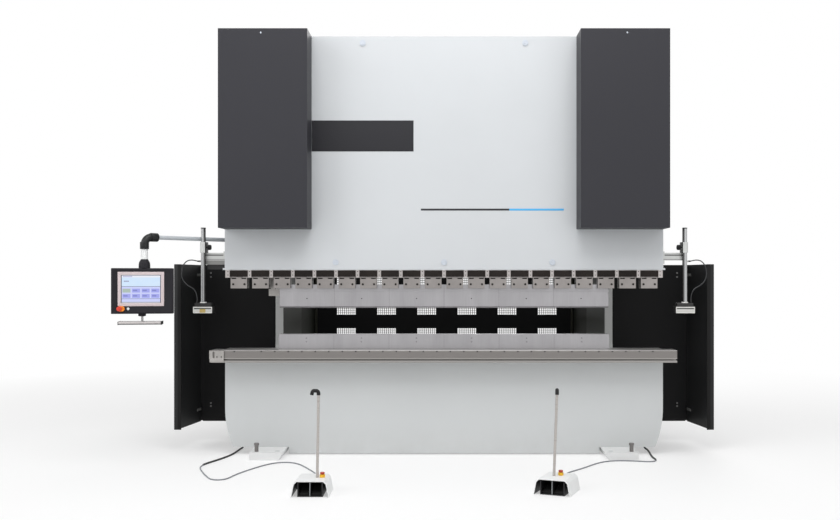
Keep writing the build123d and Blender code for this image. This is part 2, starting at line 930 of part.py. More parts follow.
def console_elbow():
    """Moulded elbow from the arm down to the drop tube."""
    ux, uy = console_direction()
    x, y = drop_axis()
    start = (x - ux * (elbow_bend_r + 60), y - uy * (elbow_bend_r + 60), console_arm_z)
    corner = (x, y, console_arm_z)
    end = (x, y, drop_tube_top_z)
    path = FilletPolyline(start, corner, end, radius=elbow_bend_r)
    ring = Plane(origin=start, z_dir=(ux, uy, 0)) * Circle(elbow_r)
    body = sweep(ring, path=path)
    ux60 = elbow_bend_r + 61
    socket_mid = (x - ux * (ux60 + elbow_bend_r) / 2, y - uy * (ux60 + elbow_bend_r) / 2, console_arm_z)
    socket = Pos(*socket_mid) * Rot(0, 0, console_arm_turn) * Rot(0, 90, 0) * Cylinder(
        console_arm_r, ux60 - elbow_bend_r)
    return body - socket


def drop_tube():
    """White tube between the elbow and the panel's flange."""
    x, y = drop_axis()
    low = flange_top_z
    return Pos(x, y, (low + drop_tube_top_z) / 2) * Cylinder(drop_tube_r, drop_tube_top_z - low)


def panel_place(x, y, z):
    """Place in the panel's own frame: x to its right, y into it, z up from its top edge."""
    at_x, at_y = drop_axis()
    return Pos(at_x, at_y, panel_top_z) * Rot(0, 0, panel_turn) * Pos(x + panel_shift, y, z)


def console_panel():
    """Console housing with its flange, and the stub below."""
    x, y = drop_axis()
    body = panel_place(0, 0, -panel_h / 2) * Box(panel_w, panel_t, panel_h)
    body = fillet(body.edges().filter_by(Axis.Z), 12)
    flange_h = flange_top_z - panel_top_z - slide_gap
    flange = Pos(x, y, panel_top_z + flange_h / 2) * Cylinder(flange_r, flange_h)
    stub = panel_place(0, 0, -panel_h - stub_h / 2) * Box(stub_w, panel_t - 30, stub_h)
    return body + flange + stub


def console_bezel():
    """Light frame round the screen."""
    front = -panel_t / 2 - bezel_t / 2
    middle = -bezel_drop - bezel_h / 2
    plate = panel_place(0, front, middle) * Box(bezel_w, bezel_t, bezel_h)
    hole = panel_place(0, front, middle) * Box(screen_w, bezel_t + 2, screen_h)
    return plate - hole


def console_screen():
    """Screen set inside the frame."""
    front = -panel_t / 2 - screen_t / 2
    middle = -bezel_drop - bezel_h / 2
    return panel_place(0, front, middle) * Box(screen_w - 1, screen_t, screen_h - 1)


def console_buttons():
    """Mushroom stop button and a lit button beside it."""
    front = -panel_t / 2
    z = -panel_h + stop_rise
    base = panel_place(stop_x, front - 5, z) * Rot(90, 0, 0) * Cylinder(stop_r + 4, 10)
    head = panel_place(stop_x, front - 10 - (stop_h - 10) / 2, z) * Rot(90, 0, 0) * Cylinder(
        stop_r, stop_h - 10)
    lamp = panel_place(lamp_x, front - lamp_h / 2, z) * Rot(90, 0, 0) * Cylinder(lamp_r, lamp_h)
    return [base + head, lamp]


def console_tray():
    """Narrow tray below the panel on a flat arm from the panel's back."""
    drop = tray_z - panel_top_z
    y = -panel_t / 2 - 20
    tray = panel_place(0, y, drop) * Box(tray_w, tray_depth, tray_h)
    arm_y = panel_t / 2 + tray_arm_t / 2
    top = -panel_h + 90
    low = drop - tray_h / 2
    arm = panel_place(0, arm_y, (top + low) / 2) * Box(tray_arm_w, tray_arm_t, top - low)
    link_end = y + tray_depth / 2
    link_mid = (link_end + arm_y) / 2
    link = panel_place(0, link_mid, low + 3) * Box(tray_arm_w, arm_y - link_end + 2, 6)
    return tray + arm + link


# Foot pedals


def on_pedal(pedal, shape):
    """Moves a shape that is drawn about the origin's depth to a pedal's place and turn."""
    x, depth, turn = pedal[:3]
    return Pos(x, back(depth), 0) * Rot(0, 0, turn) * Pos(0, -front_y, 0) * shape


def pedal_spot(pedal, offset):
    """X and depth of a place that is offset from the pedal's middle."""
    x, depth, turn = pedal[:3]
    turn = math.radians(turn)
    return (x + offset[0] * math.cos(turn) - offset[1] * math.sin(turn),
            depth + offset[0] * math.sin(turn) + offset[1] * math.cos(turn))


def pedal_hood(pedal):
    """Folded hood: its sides lean out to the floor, open in front and below."""
    reach = pedal_len / 2

    def outline(inset, low):
        half = pedal_w / 2 - inset
        high = pedal_top_w / 2 - inset
        top = pedal_h - inset
        return Polyline((-half, low), (half, low), (high, top - hood_chamfer), (high - hood_chamfer, top),
                        (hood_chamfer - high, top), (-high, top - hood_chamfer), close=True)

    hood = along_y(outline(0, 0), -reach, reach)
    hood = hood - along_y(outline(pedal_wall, -1), -reach - 1, reach - pedal_wall)
    return on_pedal(pedal, hood)


def pedal_body(pedal):
    """Black body under the hood, with one bay for each treadle."""
    half = pedal_body_w / 2
    reach = pedal_len / 2 - pedal_wall
    top = pedal_h - pedal_wall
    body = block(-half, half, pedal_body_front - reach, reach, 0, top)
    for side in (-1, 1):
        inner, outer = sorted((side * pedal_rib / 2, side * (half - pedal_body_wall)))
        body = body - block(inner, outer, pedal_body_front - reach - 1, reach - pedal_body_wall,
                            pedal_body_wall, top - pedal_body_wall)
    return on_pedal(pedal, body)


def pedal_treadles(pedal):
    """The two treadles, each on its pivot block."""
    pieces = []
    bay = pedal_body_w / 2 - pedal_body_wall
    for side in (-1, 1):
        centre = side * (bay + pedal_rib / 2) / 2
        place = Pos(centre, back(treadle_middle), treadle_z) * Rot(treadle_tilt, 0, 0)
        plate = place * Box(treadle_w, treadle_len, treadle_t)
        pivot = block(centre - treadle_w / 4, centre + treadle_w / 4, treadle_middle - treadle_t,
                      treadle_middle + treadle_t, pedal_body_wall, treadle_z)
        pieces.append(on_pedal(pedal, plate + pivot))
    return pieces


def rod_points(pedal):
    """Model X and Y of the foot and the top of a carrying rod."""
    x, depth = pedal_spot(pedal, pedal[3])
    return (x, back(depth)), (x + pedal[5], back(depth))


def pedal_rod(pedal):
    """Carrying rod on the hood, with a slight lean to the right."""
    foot_at, top_at = rod_points(pedal)
    low = Vector(*foot_at, pedal_h)
    high = Vector(*top_at, pedal_rod_top_z)
    ring = Plane(origin=low, z_dir=(0, 0, 1)) * Circle(pedal_rod_r)
    return extrude(ring, amount=(high - low).length, dir=(high - low).normalized())


def pedal_grip(pedal):
    """Bent grip on top of a carrying rod."""
    x0, y0 = rod_points(pedal)[1]
    turn = math.radians(pedal[6])
    ux, uy = math.cos(turn), math.sin(turn)
    low = pedal_rod_top_z
    path = FilletPolyline((x0, y0, low), (x0, y0, low + grip_rise),
                          (x0 + grip_len * ux, y0 + grip_len * uy, low + grip_rise),
                          (x0 + (grip_len + 8) * ux, y0 + (grip_len + 8) * uy, low + grip_rise - grip_drop),
                          radius=[grip_bend_r, grip_end_r])
    ring = Plane(origin=(x0, y0, low), z_dir=(0, 0, 1)) * Circle(grip_r)
    return sweep(ring, path=path)


def pedal_stop(pedal):
    """Stop button on a short round base, on the hood."""
    at, depth = pedal_spot(pedal, pedal[4])
    low = pedal_h
    base = post(at, depth, low, low + pedal_stop_base_h, pedal_stop_r)
    neck = post(at, depth, low + pedal_stop_base_h, low + pedal_stop_base_h + 6, 9)
    head = post(at, depth, low + pedal_stop_base_h + 6, low + pedal_stop_base_h + 18, pedal_stop_r - 2)
    return base + neck + head


# Cables


def corner_radii(points):
    """As large an arc at each corner as its two runs allow."""
    radii = []
    for before, corner, after in zip(points, points[1:], points[2:]):
        first = Vector(corner) - Vector(before)
        second = Vector(after) - Vector(corner)
        half_turn = math.radians(first.get_angle(second) / 2)
        radii.append(0.45 * min(first.length, second.length) / math.tan(half_turn))
    return radii


def cable(name, points, radius):
    """Round cable along straight runs joined by tangent arcs."""
    radii = corner_radii(points)
    path = FilletPolyline(*points, radius=radii)
    start = Vector(points[0])
    ring = Plane(origin=points[0], z_dir=Vector(points[1]) - start) * Circle(radius)
    tube = sweep(ring, path=path)
    expected = math.pi * radius ** 2 * path.length
    print(name, "least radius", round(min(radii)), "length", round(path.length),
          "volume ratio", round(tube.volume / expected, 4))
    print("   radii", [round(r) for r in radii])
    return tube


floor_z = floor_cable_r + slide_gap


def on_floor(pairs):
    """Floor points from X and the depth behind the front face."""
    return [(x, back(depth), floor_z) for x, depth in pairs]


left_floor_route = [
    (-1938, 195), (-1941, 60), (-1957, -80), (-1988, -215), (-2028, -340), (-2066, -445),
    (-2094, -540), (-2102, -630), (-2078, -735), (-2038, -840), (-1996, -948), (-1948, -1052),
    (-1912, -1128), (-1880, -1172), (-1840, -1194), (-1796, -1188), (-1764, -1154), (-1746, -1090),
    (-1728, -990), (-1696, -880),
    (-1652, -765), (-1605, -650), (-1553, -540), (-1490, -455), (-1405, -418), (-1325, -445),
    (-1258, -525), (-1203, -630), (-1150, -745), (-1098, -860), (-1052, -985), (-1023, -1115),
    (-1006, -1245), (-1001, -1375),
]
right_floor_route = [
    (1925, 185), (1912, 50), (1898, -80), (1890, -205), (1897, -295), (1882, -365), (1830, -395),
    (1760, -378), (1660, -350), (1545, -342), (1440, -378), (1355, -458), (1278, -565),
    (1205, -675), (1125, -780), (1047, -880), (990, -990), (959, -1105), (944, -1220), (938, -1330),
]


def floor_cable(name, route, side, pedal):
    """Cable from the outlet box on a side frame, over the floor, into a pedal's back."""
    out = frame_outer_x + outlet_box_t + gland_len
    first = [(side * out, back(outlet_y), outlet_z),
             (side * (out + 66), back(outlet_y), outlet_z),
             (side * (out + 132), back(outlet_y - 16), outlet_z - 54),
             (side * (out + 178), back(outlet_y - 72), outlet_z - 118),
             (route[0][0] - side * 4, back(route[0][1] + 105), floor_z)]
    last = []
    for reach in (gland_len + 25, gland_len):
        x, depth = pedal_spot(pedal, (0, pedal_len / 2 + reach))
        last.append((x, back(depth), pedal_gland_z))
    return cable(name, first + on_floor(route) + last, floor_cable_r)


def outlet_box():
    """Small outlet box on the side frame's outer face, with its gland."""
    half = outlet_box_w / 2
    face = frame_outer_x + outlet_box_t
    box = block(frame_outer_x, face, outlet_y - half, outlet_y + half,
                outlet_z - outlet_box_h / 2, outlet_z + outlet_box_h / 2)
    gland = bar_x(face, face + gland_len, outlet_y, outlet_z, gland_r)
    return box + gland


def pedal_gland(pedal):
    """Cable gland low on the pedal's back."""
    start = pedal_len / 2
    return on_pedal(pedal, bar_y(0, start, start + gland_len, pedal_gland_z, gland_r))


def scale_bracket():
    """Bracket of the measuring scale: a block inside the throat on a strip down from the frame."""
    middle = scale_low_z + scale_h
    arm = block(-scale_outer_x, -scale_inner_x, scale_front, scale_front + scale_t, scale_low_z, middle)
    strip = block(-scale_strip_x - scale_strip_w, -scale_strip_x, scale_front, scale_front + scale_t,
                  middle, ram_low + throat_rise)
    return arm + strip


# Each laser cable: distance outwards from the post, depth and height
laser_cable_route = [
    (44, 48, 1790), (74, 48, 1790), (108, 46, 1803), (143, 42, 1799), (172, 38, 1776),
    (188, 35, 1732), (194, 33, 1686), (189, 32, 1642), (174, 32, 1603), (150, 32, 1573),
    (122, 33, 1549), (97, 34, 1525), (78, 34, 1497), (67, 33, 1465), (63, 32, 1433),
    (63, 32, 1402),
]


def laser_cable(name, side):
    """Cable from the gland on the arm's end down to the sensor."""
    points = [(side * (laser_x + out), back(depth), z) for out, depth, z in laser_cable_route]
    return cable(name, points, laser_cable_r)


save("side_frame_left", other_side(side_frame()))
save("side_frame_right", side_frame())
save("bed_front_plate", bed_plate())
save("feet", *pair(foot(True)), *pair(foot(False)))
save("levelling_bolts", *pair(level_bolt(True)), *pair(level_bolt(False)))
save("table", table())
save("table_rail", table_rail())
save("table_end_bracket", table_end_bracket())
save("dies", *dies())
save("cylinders", *pair(cylinder()))
save("cylinder_covers", *pair(cylinder_cover()))
save("cover_hooks", *pair(cover_hook()))
save("ram_guides", *pair(ram_guide()))
save("tie_beams", upper_tie(), lower_tie())
save("oil_tank", oil_tank())
save("pump_motor", pump_motor())
save("electrical_cabinet", electrical_cabinet())
save("rear_wings", *pair(rear_wing()))
save("rear_guard", rear_guard())
save("rear_guard_feet", *[guard_foot(x, guard_depth + guard_t / 2) for x in (-1540, -530, 530, 1540)])
save("side_guards", *pair(side_guard()))
save("side_guard_hinges", *guard_hinge(), *[other_side(piece) for piece in guard_hinge()])
save("scale_bracket", scale_bracket())
save("cable_outlets", *pair(outlet_box()), pedal_gland(pedal_left), pedal_gland(pedal_right))
save("console_bracket", console_bracket())

save("ram_plate", ram_plate())
save("ram_edge", ram_edge())
save("adjuster_blocks", *[adjuster_block(x) for x in clamp_places()])
save("punch_holders", *[punch_holder(x) for x in clamp_places()])
save("clamp_plates", *[clamp_plate(x) for x in clamp_places()])
save("punches", *punches())
save("screw_caps", *screw_caps())
save("piston_rods", *pair(piston_rod()))
save("laser_arms", other_side(laser_arm()) + arm_duct(), laser_arm())
save("laser_collars", *pair(laser_collar()))

save("laser_post_left", other_side(laser_post()))
save("laser_post_right", laser_post())
save("laser_sensor_left", other_side(laser_sensor()))
save("laser_sensor_right", laser_sensor())
save("laser_cable_left", laser_cable("laser_cable_left", -1))
save("laser_cable_right", laser_cable("laser_cable_right", 1))

save("side_door_left", other_side(side_door()))
save("side_door_right", side_door())

save("console_arm", console_arm())
save("console_elbow", console_elbow())
save("console_drop_tube", drop_tube())
save("console_panel", console_panel())
save("console_bezel", console_bezel())
save("console_screen", console_screen())
save("console_buttons", *console_buttons())
save("console_tray", console_tray())

save("pedal_hoods", pedal_hood(pedal_left), pedal_hood(pedal_right))
save("pedal_bodies", pedal_body(pedal_left), pedal_body(pedal_right))
save("pedal_treadles", *pedal_treadles(pedal_left), *pedal_treadles(pedal_right))
save("pedal_rods", pedal_rod(pedal_left), pedal_rod(pedal_right))
save("pedal_grips", pedal_grip(pedal_left), pedal_grip(pedal_right))
save("pedal_stops", pedal_stop(pedal_left), pedal_stop(pedal_right))
save("floor_cable_left", floor_cable("floor_cable_left", left_floor_route, -1, pedal_left))
save("floor_cable_right", floor_cable("floor_cable_right", right_floor_route, 1, pedal_right))
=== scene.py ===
import bpy
import bmesh
import math
from mathutils import Matrix, Vector


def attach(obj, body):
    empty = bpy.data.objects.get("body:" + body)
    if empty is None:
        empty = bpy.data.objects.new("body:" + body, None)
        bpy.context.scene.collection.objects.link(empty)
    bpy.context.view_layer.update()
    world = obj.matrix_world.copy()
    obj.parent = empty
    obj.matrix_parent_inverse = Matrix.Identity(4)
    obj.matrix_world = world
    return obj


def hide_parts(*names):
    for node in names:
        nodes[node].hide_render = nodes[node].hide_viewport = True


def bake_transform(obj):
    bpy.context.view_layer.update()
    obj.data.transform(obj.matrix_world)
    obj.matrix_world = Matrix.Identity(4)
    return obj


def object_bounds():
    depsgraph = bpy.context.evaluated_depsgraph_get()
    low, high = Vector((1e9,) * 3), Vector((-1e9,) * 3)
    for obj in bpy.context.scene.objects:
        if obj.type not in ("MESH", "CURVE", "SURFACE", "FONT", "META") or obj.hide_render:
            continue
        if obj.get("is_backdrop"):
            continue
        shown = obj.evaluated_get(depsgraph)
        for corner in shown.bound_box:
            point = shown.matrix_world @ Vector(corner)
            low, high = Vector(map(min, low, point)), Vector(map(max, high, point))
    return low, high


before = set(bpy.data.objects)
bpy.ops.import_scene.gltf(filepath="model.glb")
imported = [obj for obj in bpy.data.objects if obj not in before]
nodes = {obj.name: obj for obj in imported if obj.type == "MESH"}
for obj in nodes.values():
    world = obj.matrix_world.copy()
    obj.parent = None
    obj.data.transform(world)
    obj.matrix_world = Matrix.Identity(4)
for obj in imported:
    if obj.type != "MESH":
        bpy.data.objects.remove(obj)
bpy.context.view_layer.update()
frontY = -0.9           # front face of the ram and of the bed, in metres
print("frame loaded,", len(nodes), "nodes")

front, rear = Vector((0, -1, 0)), Vector((0, 1, 0))
left, right = Vector((-1, 0, 0)), Vector((1, 0, 0))
up, down = Vector((0, 0, 1)), Vector((0, 0, -1))


def spot(x, depth, z):   # millimetres, depth counted backwards from the front face
    return Vector((x / 1000, frontY + depth / 1000, z / 1000))


def own(x, y, z):        # millimetres about a piece's own origin, for pieces that a matrix places
    return Vector((x, y, z)) / 1000


def span(middle, half):
    return middle - half, middle + half


# Camera

camera = {"place": (0, -10.157, 1.634), "lens": 42.86, "sensor": 36, "shiftX": -0.0286, "shiftY": 0.0214}
bpy.ops.object.camera_add(location=camera["place"], rotation=(math.pi / 2, 0, 0))
eye = bpy.context.object
eye.name = "photoCamera"
eye.data.lens = camera["lens"]
eye.data.sensor_width = camera["sensor"]
eye.data.shift_x = camera["shiftX"]
eye.data.shift_y = camera["shiftY"]
bpy.context.scene.camera = eye


# Shader graphs

class Shade:             # a socket that does arithmetic
    def __init__(self, graph, socket):
        self.graph, self.socket = graph, socket

    def work(self, operation, other, turned=False):
        first, second = (other, self) if turned else (self, other)
        return self.graph.node("ShaderNodeMath", {"operation": operation}, {0: first, 1: second})

    def __add__(self, other): return self.work("ADD", other)
    def __sub__(self, other): return self.work("SUBTRACT", other)
    def __rsub__(self, other): return self.work("SUBTRACT", other, True)
    def __mul__(self, other): return self.work("MULTIPLY", other)
    def __truediv__(self, other): return self.work("DIVIDE", other)
    def __gt__(self, other): return self.work("GREATER_THAN", other)
    def __lt__(self, other): return self.work("LESS_THAN", other)
    __radd__, __rmul__ = __add__, __mul__

    def size(self): return self.work("ABSOLUTE", 0)
    def held(self): return self.graph.node("ShaderNodeClamp", {}, {"Value": self})


class Graph:
    def __init__(self, tree):
        self.tree = tree

    def feed(self, socket, value):
        if isinstance(value, Shade):
            self.tree.links.new(value.socket, socket)
        else:
            socket.default_value = value

    def node(self, kind, settings=None, values=None, output=0):
        made = self.tree.nodes.new(kind)
        for key, value in (settings or {}).items():
            setattr(made, key, value)
        for key, value in (values or {}).items():
            self.feed(made.inputs[key], value)
        return Shade(self, made.outputs[output])

    def mix(self, factor, first, second):
        return self.node("ShaderNodeMix", {"data_type": "RGBA"}, {0: factor, 6: first, 7: second}, 2)


class Finish(Graph):
    def __init__(self, name, colour, roughness, metallic=0.0, specular=0.5, coat=0.0):
        self.material = bpy.data.materials.new(name)
        self.material.use_nodes = True
        super().__init__(self.material.node_tree)
        self.shader = self.tree.nodes["Principled BSDF"]
        self.colour, self.roughness = colour, roughness
        for socket, value in (("Base Color", (*colour, 1)), ("Roughness", roughness),
                              ("Metallic", metallic), ("Specular IOR Level", specular),
                              ("Coat Weight", coat)):
            self.give(socket, value)
        self.at = self.node("ShaderNodeTexCoord", output="Object")

    def give(self, socket, value):
        self.feed(self.shader.inputs[socket], value)

    def noise(self, scale, detail=2, stretch=(1, 1, 1)):
        placed = self.node("ShaderNodeMapping", values={"Vector": self.at, "Scale": stretch})
        return self.node("ShaderNodeTexNoise", values={"Vector": placed, "Scale": scale, "Detail": detail})

    def along(self, letter):
        return self.node("ShaderNodeSeparateXYZ", values={"Vector": self.at}, output=letter)

    def bump(self, height, strength, distance):
        self.give("Normal", self.node("ShaderNodeBump", values={
            "Height": height, "Strength": strength, "Distance": distance}))

    def tone(self, share):
        return (*(min(1, part * share) for part in self.colour), 1)


def paint(name, colour, roughness=0.45, specular=0.5, grain=420, relief=0.25, cloud=0.05, dust=0.0,
          dustColour=(0.3, 0.28, 0.25, 1)):
    finish = Finish(name, colour, roughness, specular=specular)
    speckle = finish.noise(grain, 2)
    base = finish.mix(finish.noise(0.9, 3), finish.tone(1 - cloud), finish.tone(1 + cloud))
    if dust:
        low = (1 - finish.along("Z") / 0.3).held() * finish.noise(9, 4) * dust
        base = finish.mix(low.held(), base, dustColour)
    finish.give("Base Color", base)
    finish.give("Roughness", speckle * 0.12 + (roughness - 0.06))
    finish.bump(speckle, relief, 0.0003)
    return finish


def steel(name, colour, roughness=0.35, stretch=(3, 110, 110), contrast=0.12, blotch=0.1, metallic=0.9,
          spread=(1, 1, 1)):
    finish = Finish(name, colour, roughness, metallic=metallic)
    grain = finish.noise(4, 5, stretch)
    patches = finish.noise(5, 4, spread)
    tone = (grain - 0.5) * (contrast * 4) + (patches - 0.5) * (blotch * 4) + 0.5
    base = finish.mix(tone.held(), finish.tone(1 - contrast - blotch), finish.tone(1 + contrast + blotch))
    finish.give("Base Color", base)
    finish.give("Roughness", grain * 0.2 + (roughness - 0.1))
    finish.bump(grain, 0.15, 0.0003)
    return finish


def plastic(name, colour, roughness=0.5, specular=0.4, coat=0.0, grain=900, relief=0.3):
    finish = Finish(name, colour, roughness, specular=specular, coat=coat)
    pores = finish.noise(grain, 2)
    finish.give("Base Color", finish.mix(finish.noise(6, 3), finish.tone(0.9), finish.tone(1.1)))
    finish.give("Roughness", pores * 0.16 + (roughness - 0.08))
    finish.bump(pores, relief, 0.0002)
    return finish


def within(value, low, high):          # 1 between two limits
    return (value > low) * (value < high)


def masked(finish, mask, colour):      # repaints part of a finish; mask is 0 or 1
    source = finish.shader.inputs["Base Color"].links[0].from_socket
    finish.give("Base Color", finish.mix(mask, Shade(finish, source), (*colour, 1)))
    return finish


# Metres, in the machine's own axes: where one finish of a solid gives way to the next, or where painted shade,
# painted highlight or painted reflection begins
seams = {"frameShadedInside": 1.5765, "railFoot": 0.8995, "railGroove": 0.909, "railHighlightTop": 0.9745,
         "clampFace": -0.8935, "bracketFace": -1.1178, "segment": 0.255, "segmentGap": 0.0012,
         "armShadedUnder": 1.797, "armLip": (1.802, 1.81), "armLipFront": -0.8715, "armSlot": (1.8405, 1.8515),
         "armSlotFront": -0.8718, "collarInside": 2.207, "postReflectionEdge": 2.2235, "sensorTop": 1.3675,
         "sensorBack": -0.9282, "trayShadedUnder": 1.2365, "doorShadedInside": 2.509}
hoods = {"left": (-1.0, -2.565), "right": (0.863, -2.517), "height": 0.03}     # the hoods' middles, metres

# whitePaint, bedPaint, tubePaint, framePaint and ramPaint are copies of one white paint, each set lighter or
# darker to match the light its part gets: painted light and painted shade
whitePaint = paint("whitePaint", (0.73, 0.735, 0.735), 0.42)
bedPaint = paint("bedPaint", (0.595, 0.613, 0.617), 0.45, dust=0.2)
tubePaint = paint("tubePaint", (0.82, 0.83, 0.83), 0.4)
framePaint = paint("framePaint", (0.6, 0.61, 0.6), 0.45, specular=0.3, dust=0.3)
# the side frames' inner faces are painted near black: painted shade inside the frame
masked(framePaint, framePaint.along("X").size() < seams["frameShadedInside"], (0.016, 0.018, 0.012))
coverPaint = paint("coverPaint", (0.03, 0.03, 0.036), 0.5, specular=0.25, cloud=0.06, relief=0.35)
blackSheet = paint("blackSheet", (0.008, 0.008, 0.0085), 0.55, specular=0.15, cloud=0.25, relief=0.4,
                   dust=0.15, dustColour=(0.05, 0.05, 0.048, 1))
machineGrey = paint("machineGrey", (0.33, 0.35, 0.36), 0.5, cloud=0.08)
cabinetPaint = paint("cabinetPaint", (0.55, 0.57, 0.57), 0.5, cloud=0.04)
motorPaint = paint("motorPaint", (0.05, 0.09, 0.15), 0.45, cloud=0.1)
armPaint = paint("armPaint", (0.52, 0.55, 0.58), 0.35, cloud=0.04)
consolePaint = paint("consolePaint", (0.024, 0.023, 0.027), 0.5, specular=0.1)
bandPaint = paint("bandPaint", (0.026, 0.026, 0.03), 0.5, specular=0.2)
stripeDark = paint("stripeDark", (0.03, 0.03, 0.035), 0.5, specular=0.3)
stripeBlue = paint("stripeBlue", (0.07, 0.42, 0.8), 0.45)
guardPost = paint("guardPost", (0.045, 0.046, 0.034), 0.6, specular=0.2)
railSteel = steel("railSteel", (0.225, 0.212, 0.203), 0.4, contrast=0.1, blotch=0.06)
railHeight = railSteel.along("Z")
# the rail's lower lip, a band above its groove and its top edge are painted lighter than the rest: painted
# highlights where light catches the steel
masked(railSteel, railHeight < seams["railFoot"], (0.33, 0.317, 0.305))
masked(railSteel, within(railHeight, seams["railFoot"], seams["railGroove"]), (0.34, 0.325, 0.31))
masked(railSteel, railHeight > seams["railHighlightTop"], (0.46, 0.45, 0.44))
tableSteel = steel("tableSteel", (0.5, 0.49, 0.48), 0.35)
clampSteel = steel("clampSteel", (0.3, 0.28, 0.27), 0.4, stretch=(90, 90, 4), contrast=0.1, blotch=0.2)
# everything on the clamp plates behind their front face is painted near black: painted shade on their sides and
# backs
masked(clampSteel, clampSteel.along("Y") > seams["clampFace"], (0.02, 0.018, 0.017))
edgeSteel = steel("edgeSteel", (0.46, 0.43, 0.42), 0.4, stretch=(60, 60, 5), blotch=0.12)
toolSteel = steel("toolSteel", (0.38, 0.372, 0.385), 0.33, stretch=(24, 24, 1), contrast=0.08, blotch=0.16,
                  spread=(1.8, 1, 0.5))
boltSteel = steel("boltSteel", (0.2, 0.19, 0.185), 0.35, stretch=(60, 60, 60), contrast=0.1)
chromeBar = steel("chromeBar", (0.72, 0.73, 0.74), 0.16, stretch=(2, 2, 160), contrast=0.04, blotch=0.03,
                  metallic=1.0)
rodSteel = steel("rodSteel", (0.46, 0.43, 0.41), 0.3, stretch=(3, 3, 90), contrast=0.08)
bracketSteel = steel("bracketSteel", (0.38, 0.365, 0.35), 0.45, stretch=(60, 60, 4), contrast=0.14,
                     blotch=0.16)
# the end bracket's holes and every face behind its front are painted near black: painted shade in the holes and
# behind
bracketShadedHoles = steel("bracketShadedHoles", (0.38, 0.365, 0.35), 0.45, stretch=(60, 60, 4), contrast=0.14,
                     blotch=0.2)
masked(bracketShadedHoles, bracketShadedHoles.along("Y") > seams["bracketFace"], (0.03, 0.028, 0.026))
darkSteel = steel("darkSteel", (0.017, 0.0135, 0.012), 0.5, stretch=(70, 70, 70), contrast=0.25, blotch=0.3,
                  metallic=0.1)
darkSteel.give("Specular IOR Level", 0.15)
blackPlastic = plastic("blackPlastic", (0.012, 0.012, 0.013), 0.45)
blackRubber = plastic("blackRubber", (0.018, 0.018, 0.018), 0.7, specular=0.25, grain=500)
creamPlastic = plastic("creamPlastic", (0.61, 0.52, 0.53), 0.45)
redPlastic = plastic("redPlastic", (0.62, 0.035, 0.015), 0.3, coat=0.4)
darkRed = plastic("darkRed", (0.42, 0.035, 0.012), 0.35, coat=0.3)
orangePlastic = plastic("orangePlastic", (0.85, 0.25, 0.02), 0.4)
yellowPlastic = plastic("yellowPlastic", (0.85, 0.5, 0.03), 0.4)
greySheath = plastic("greySheath", (0.22, 0.23, 0.25), 0.5)
darkSheath = plastic("darkSheath", (0.03, 0.031, 0.033), 0.62)
blackSheath = plastic("blackSheath", (0.015, 0.015, 0.016), 0.5)
segmentJoint = toolSteel.node("ShaderNodeMath", {"operation": "PINGPONG"}, {
    0: toolSteel.along("X"), 1: seams["segment"]})
masked(toolSteel, segmentJoint < seams["segmentGap"], (0.2, 0.2, 0.2))     # where two tool segments meet
# blackHinge is lighter than the black sheet: a painted glint for the hinge straps, shared by the strap and
# guard screws
blackHinge = steel("blackHinge", (0.2, 0.2, 0.195), 0.35, stretch=(60, 60, 60), metallic=0.5)
brassPlate = steel("brassPlate", (0.5, 0.38, 0.14), 0.35, stretch=(60, 60, 8), metallic=0.8)
ringPaint = paint("ringPaint", (0.66, 0.66, 0.64), 0.4)
# ramPaint is another copy of the white paint, its lightness set for the light on the ram: painted light
ramPaint = paint("ramPaint", (0.592, 0.613, 0.632), 0.42)
capPaint = paint("capPaint", (0.56, 0.6, 0.66), 0.4)
# the punch holders' steel is darker than bare steel: painted shade for the shadow they sit in under the ram
shadedHolderSteel = steel("shadedHolderSteel", (0.2, 0.19, 0.18), 0.45, stretch=(60, 60, 5))
armAlloy = steel("armAlloy", (0.56, 0.57, 0.56), 0.45, stretch=(4, 90, 90), contrast=0.06, metallic=0.6)
armHeight, armDepth = armAlloy.along("Z"), armAlloy.along("Y")
# on the laser arms the left arm's underside, a band on the front of the lip and the inside of the slot are
# painted darker: painted shade
masked(armAlloy, (armHeight < seams["armShadedUnder"]) * (armAlloy.along("X") < 0), (0.24, 0.24, 0.235))
masked(armAlloy, within(armHeight, *seams["armLip"]) * (armDepth < seams["armLipFront"]), (0.3, 0.3, 0.3))
masked(armAlloy, within(armHeight, *seams["armSlot"]) * (armDepth > seams["armSlotFront"]), (0.1, 0.1, 0.1))
collarAlloy = steel("collarAlloy", (0.6, 0.61, 0.6), 0.4, stretch=(60, 60, 30), contrast=0.06, metallic=0.6)
masked(collarAlloy, collarAlloy.along("X").size() < seams["collarInside"], (0.015, 0.015, 0.015))
postChrome = steel("postChrome", (0.44, 0.445, 0.45), 0.2, stretch=(2, 2, 160), contrast=0.04, metallic=0.95)
# the inboard side of each laser post is painted dark: a painted reflection of the dark guard behind
masked(postChrome, ((seams["postReflectionEdge"] - postChrome.along("X").size()) * 160).held(), (0.09, 0.09, 0.09))
sensorPaint = paint("sensorPaint", (0.66, 0.66, 0.63), 0.4)
masked(sensorPaint, (sensorPaint.along("Z") > seams["sensorTop"])
       + (sensorPaint.along("Y") > seams["sensorBack"]), (0.012, 0.012, 0.012))
trayAlloy = steel("trayAlloy", (0.56, 0.53, 0.525), 0.4, stretch=(4, 90, 90), contrast=0.05, metallic=0.5)
# the console tray's underside is painted dark: painted shade
masked(trayAlloy, trayAlloy.along("Z") < seams["trayShadedUnder"], (0.11, 0.11, 0.11))
wingPaint = paint("wingPaint", (0.014, 0.0155, 0.011), 0.55, specular=0.2, cloud=0.2)
doorSheet = paint("doorSheet", (0.018, 0.0185, 0.019), 0.5, specular=0.2, cloud=0.2, relief=0.4)
knobPlastic = plastic("knobPlastic", (0.005, 0.005, 0.005), 0.4, specular=0.2)
doorRim = paint("doorRim", (0.018, 0.0185, 0.019), 0.5, specular=0.2)
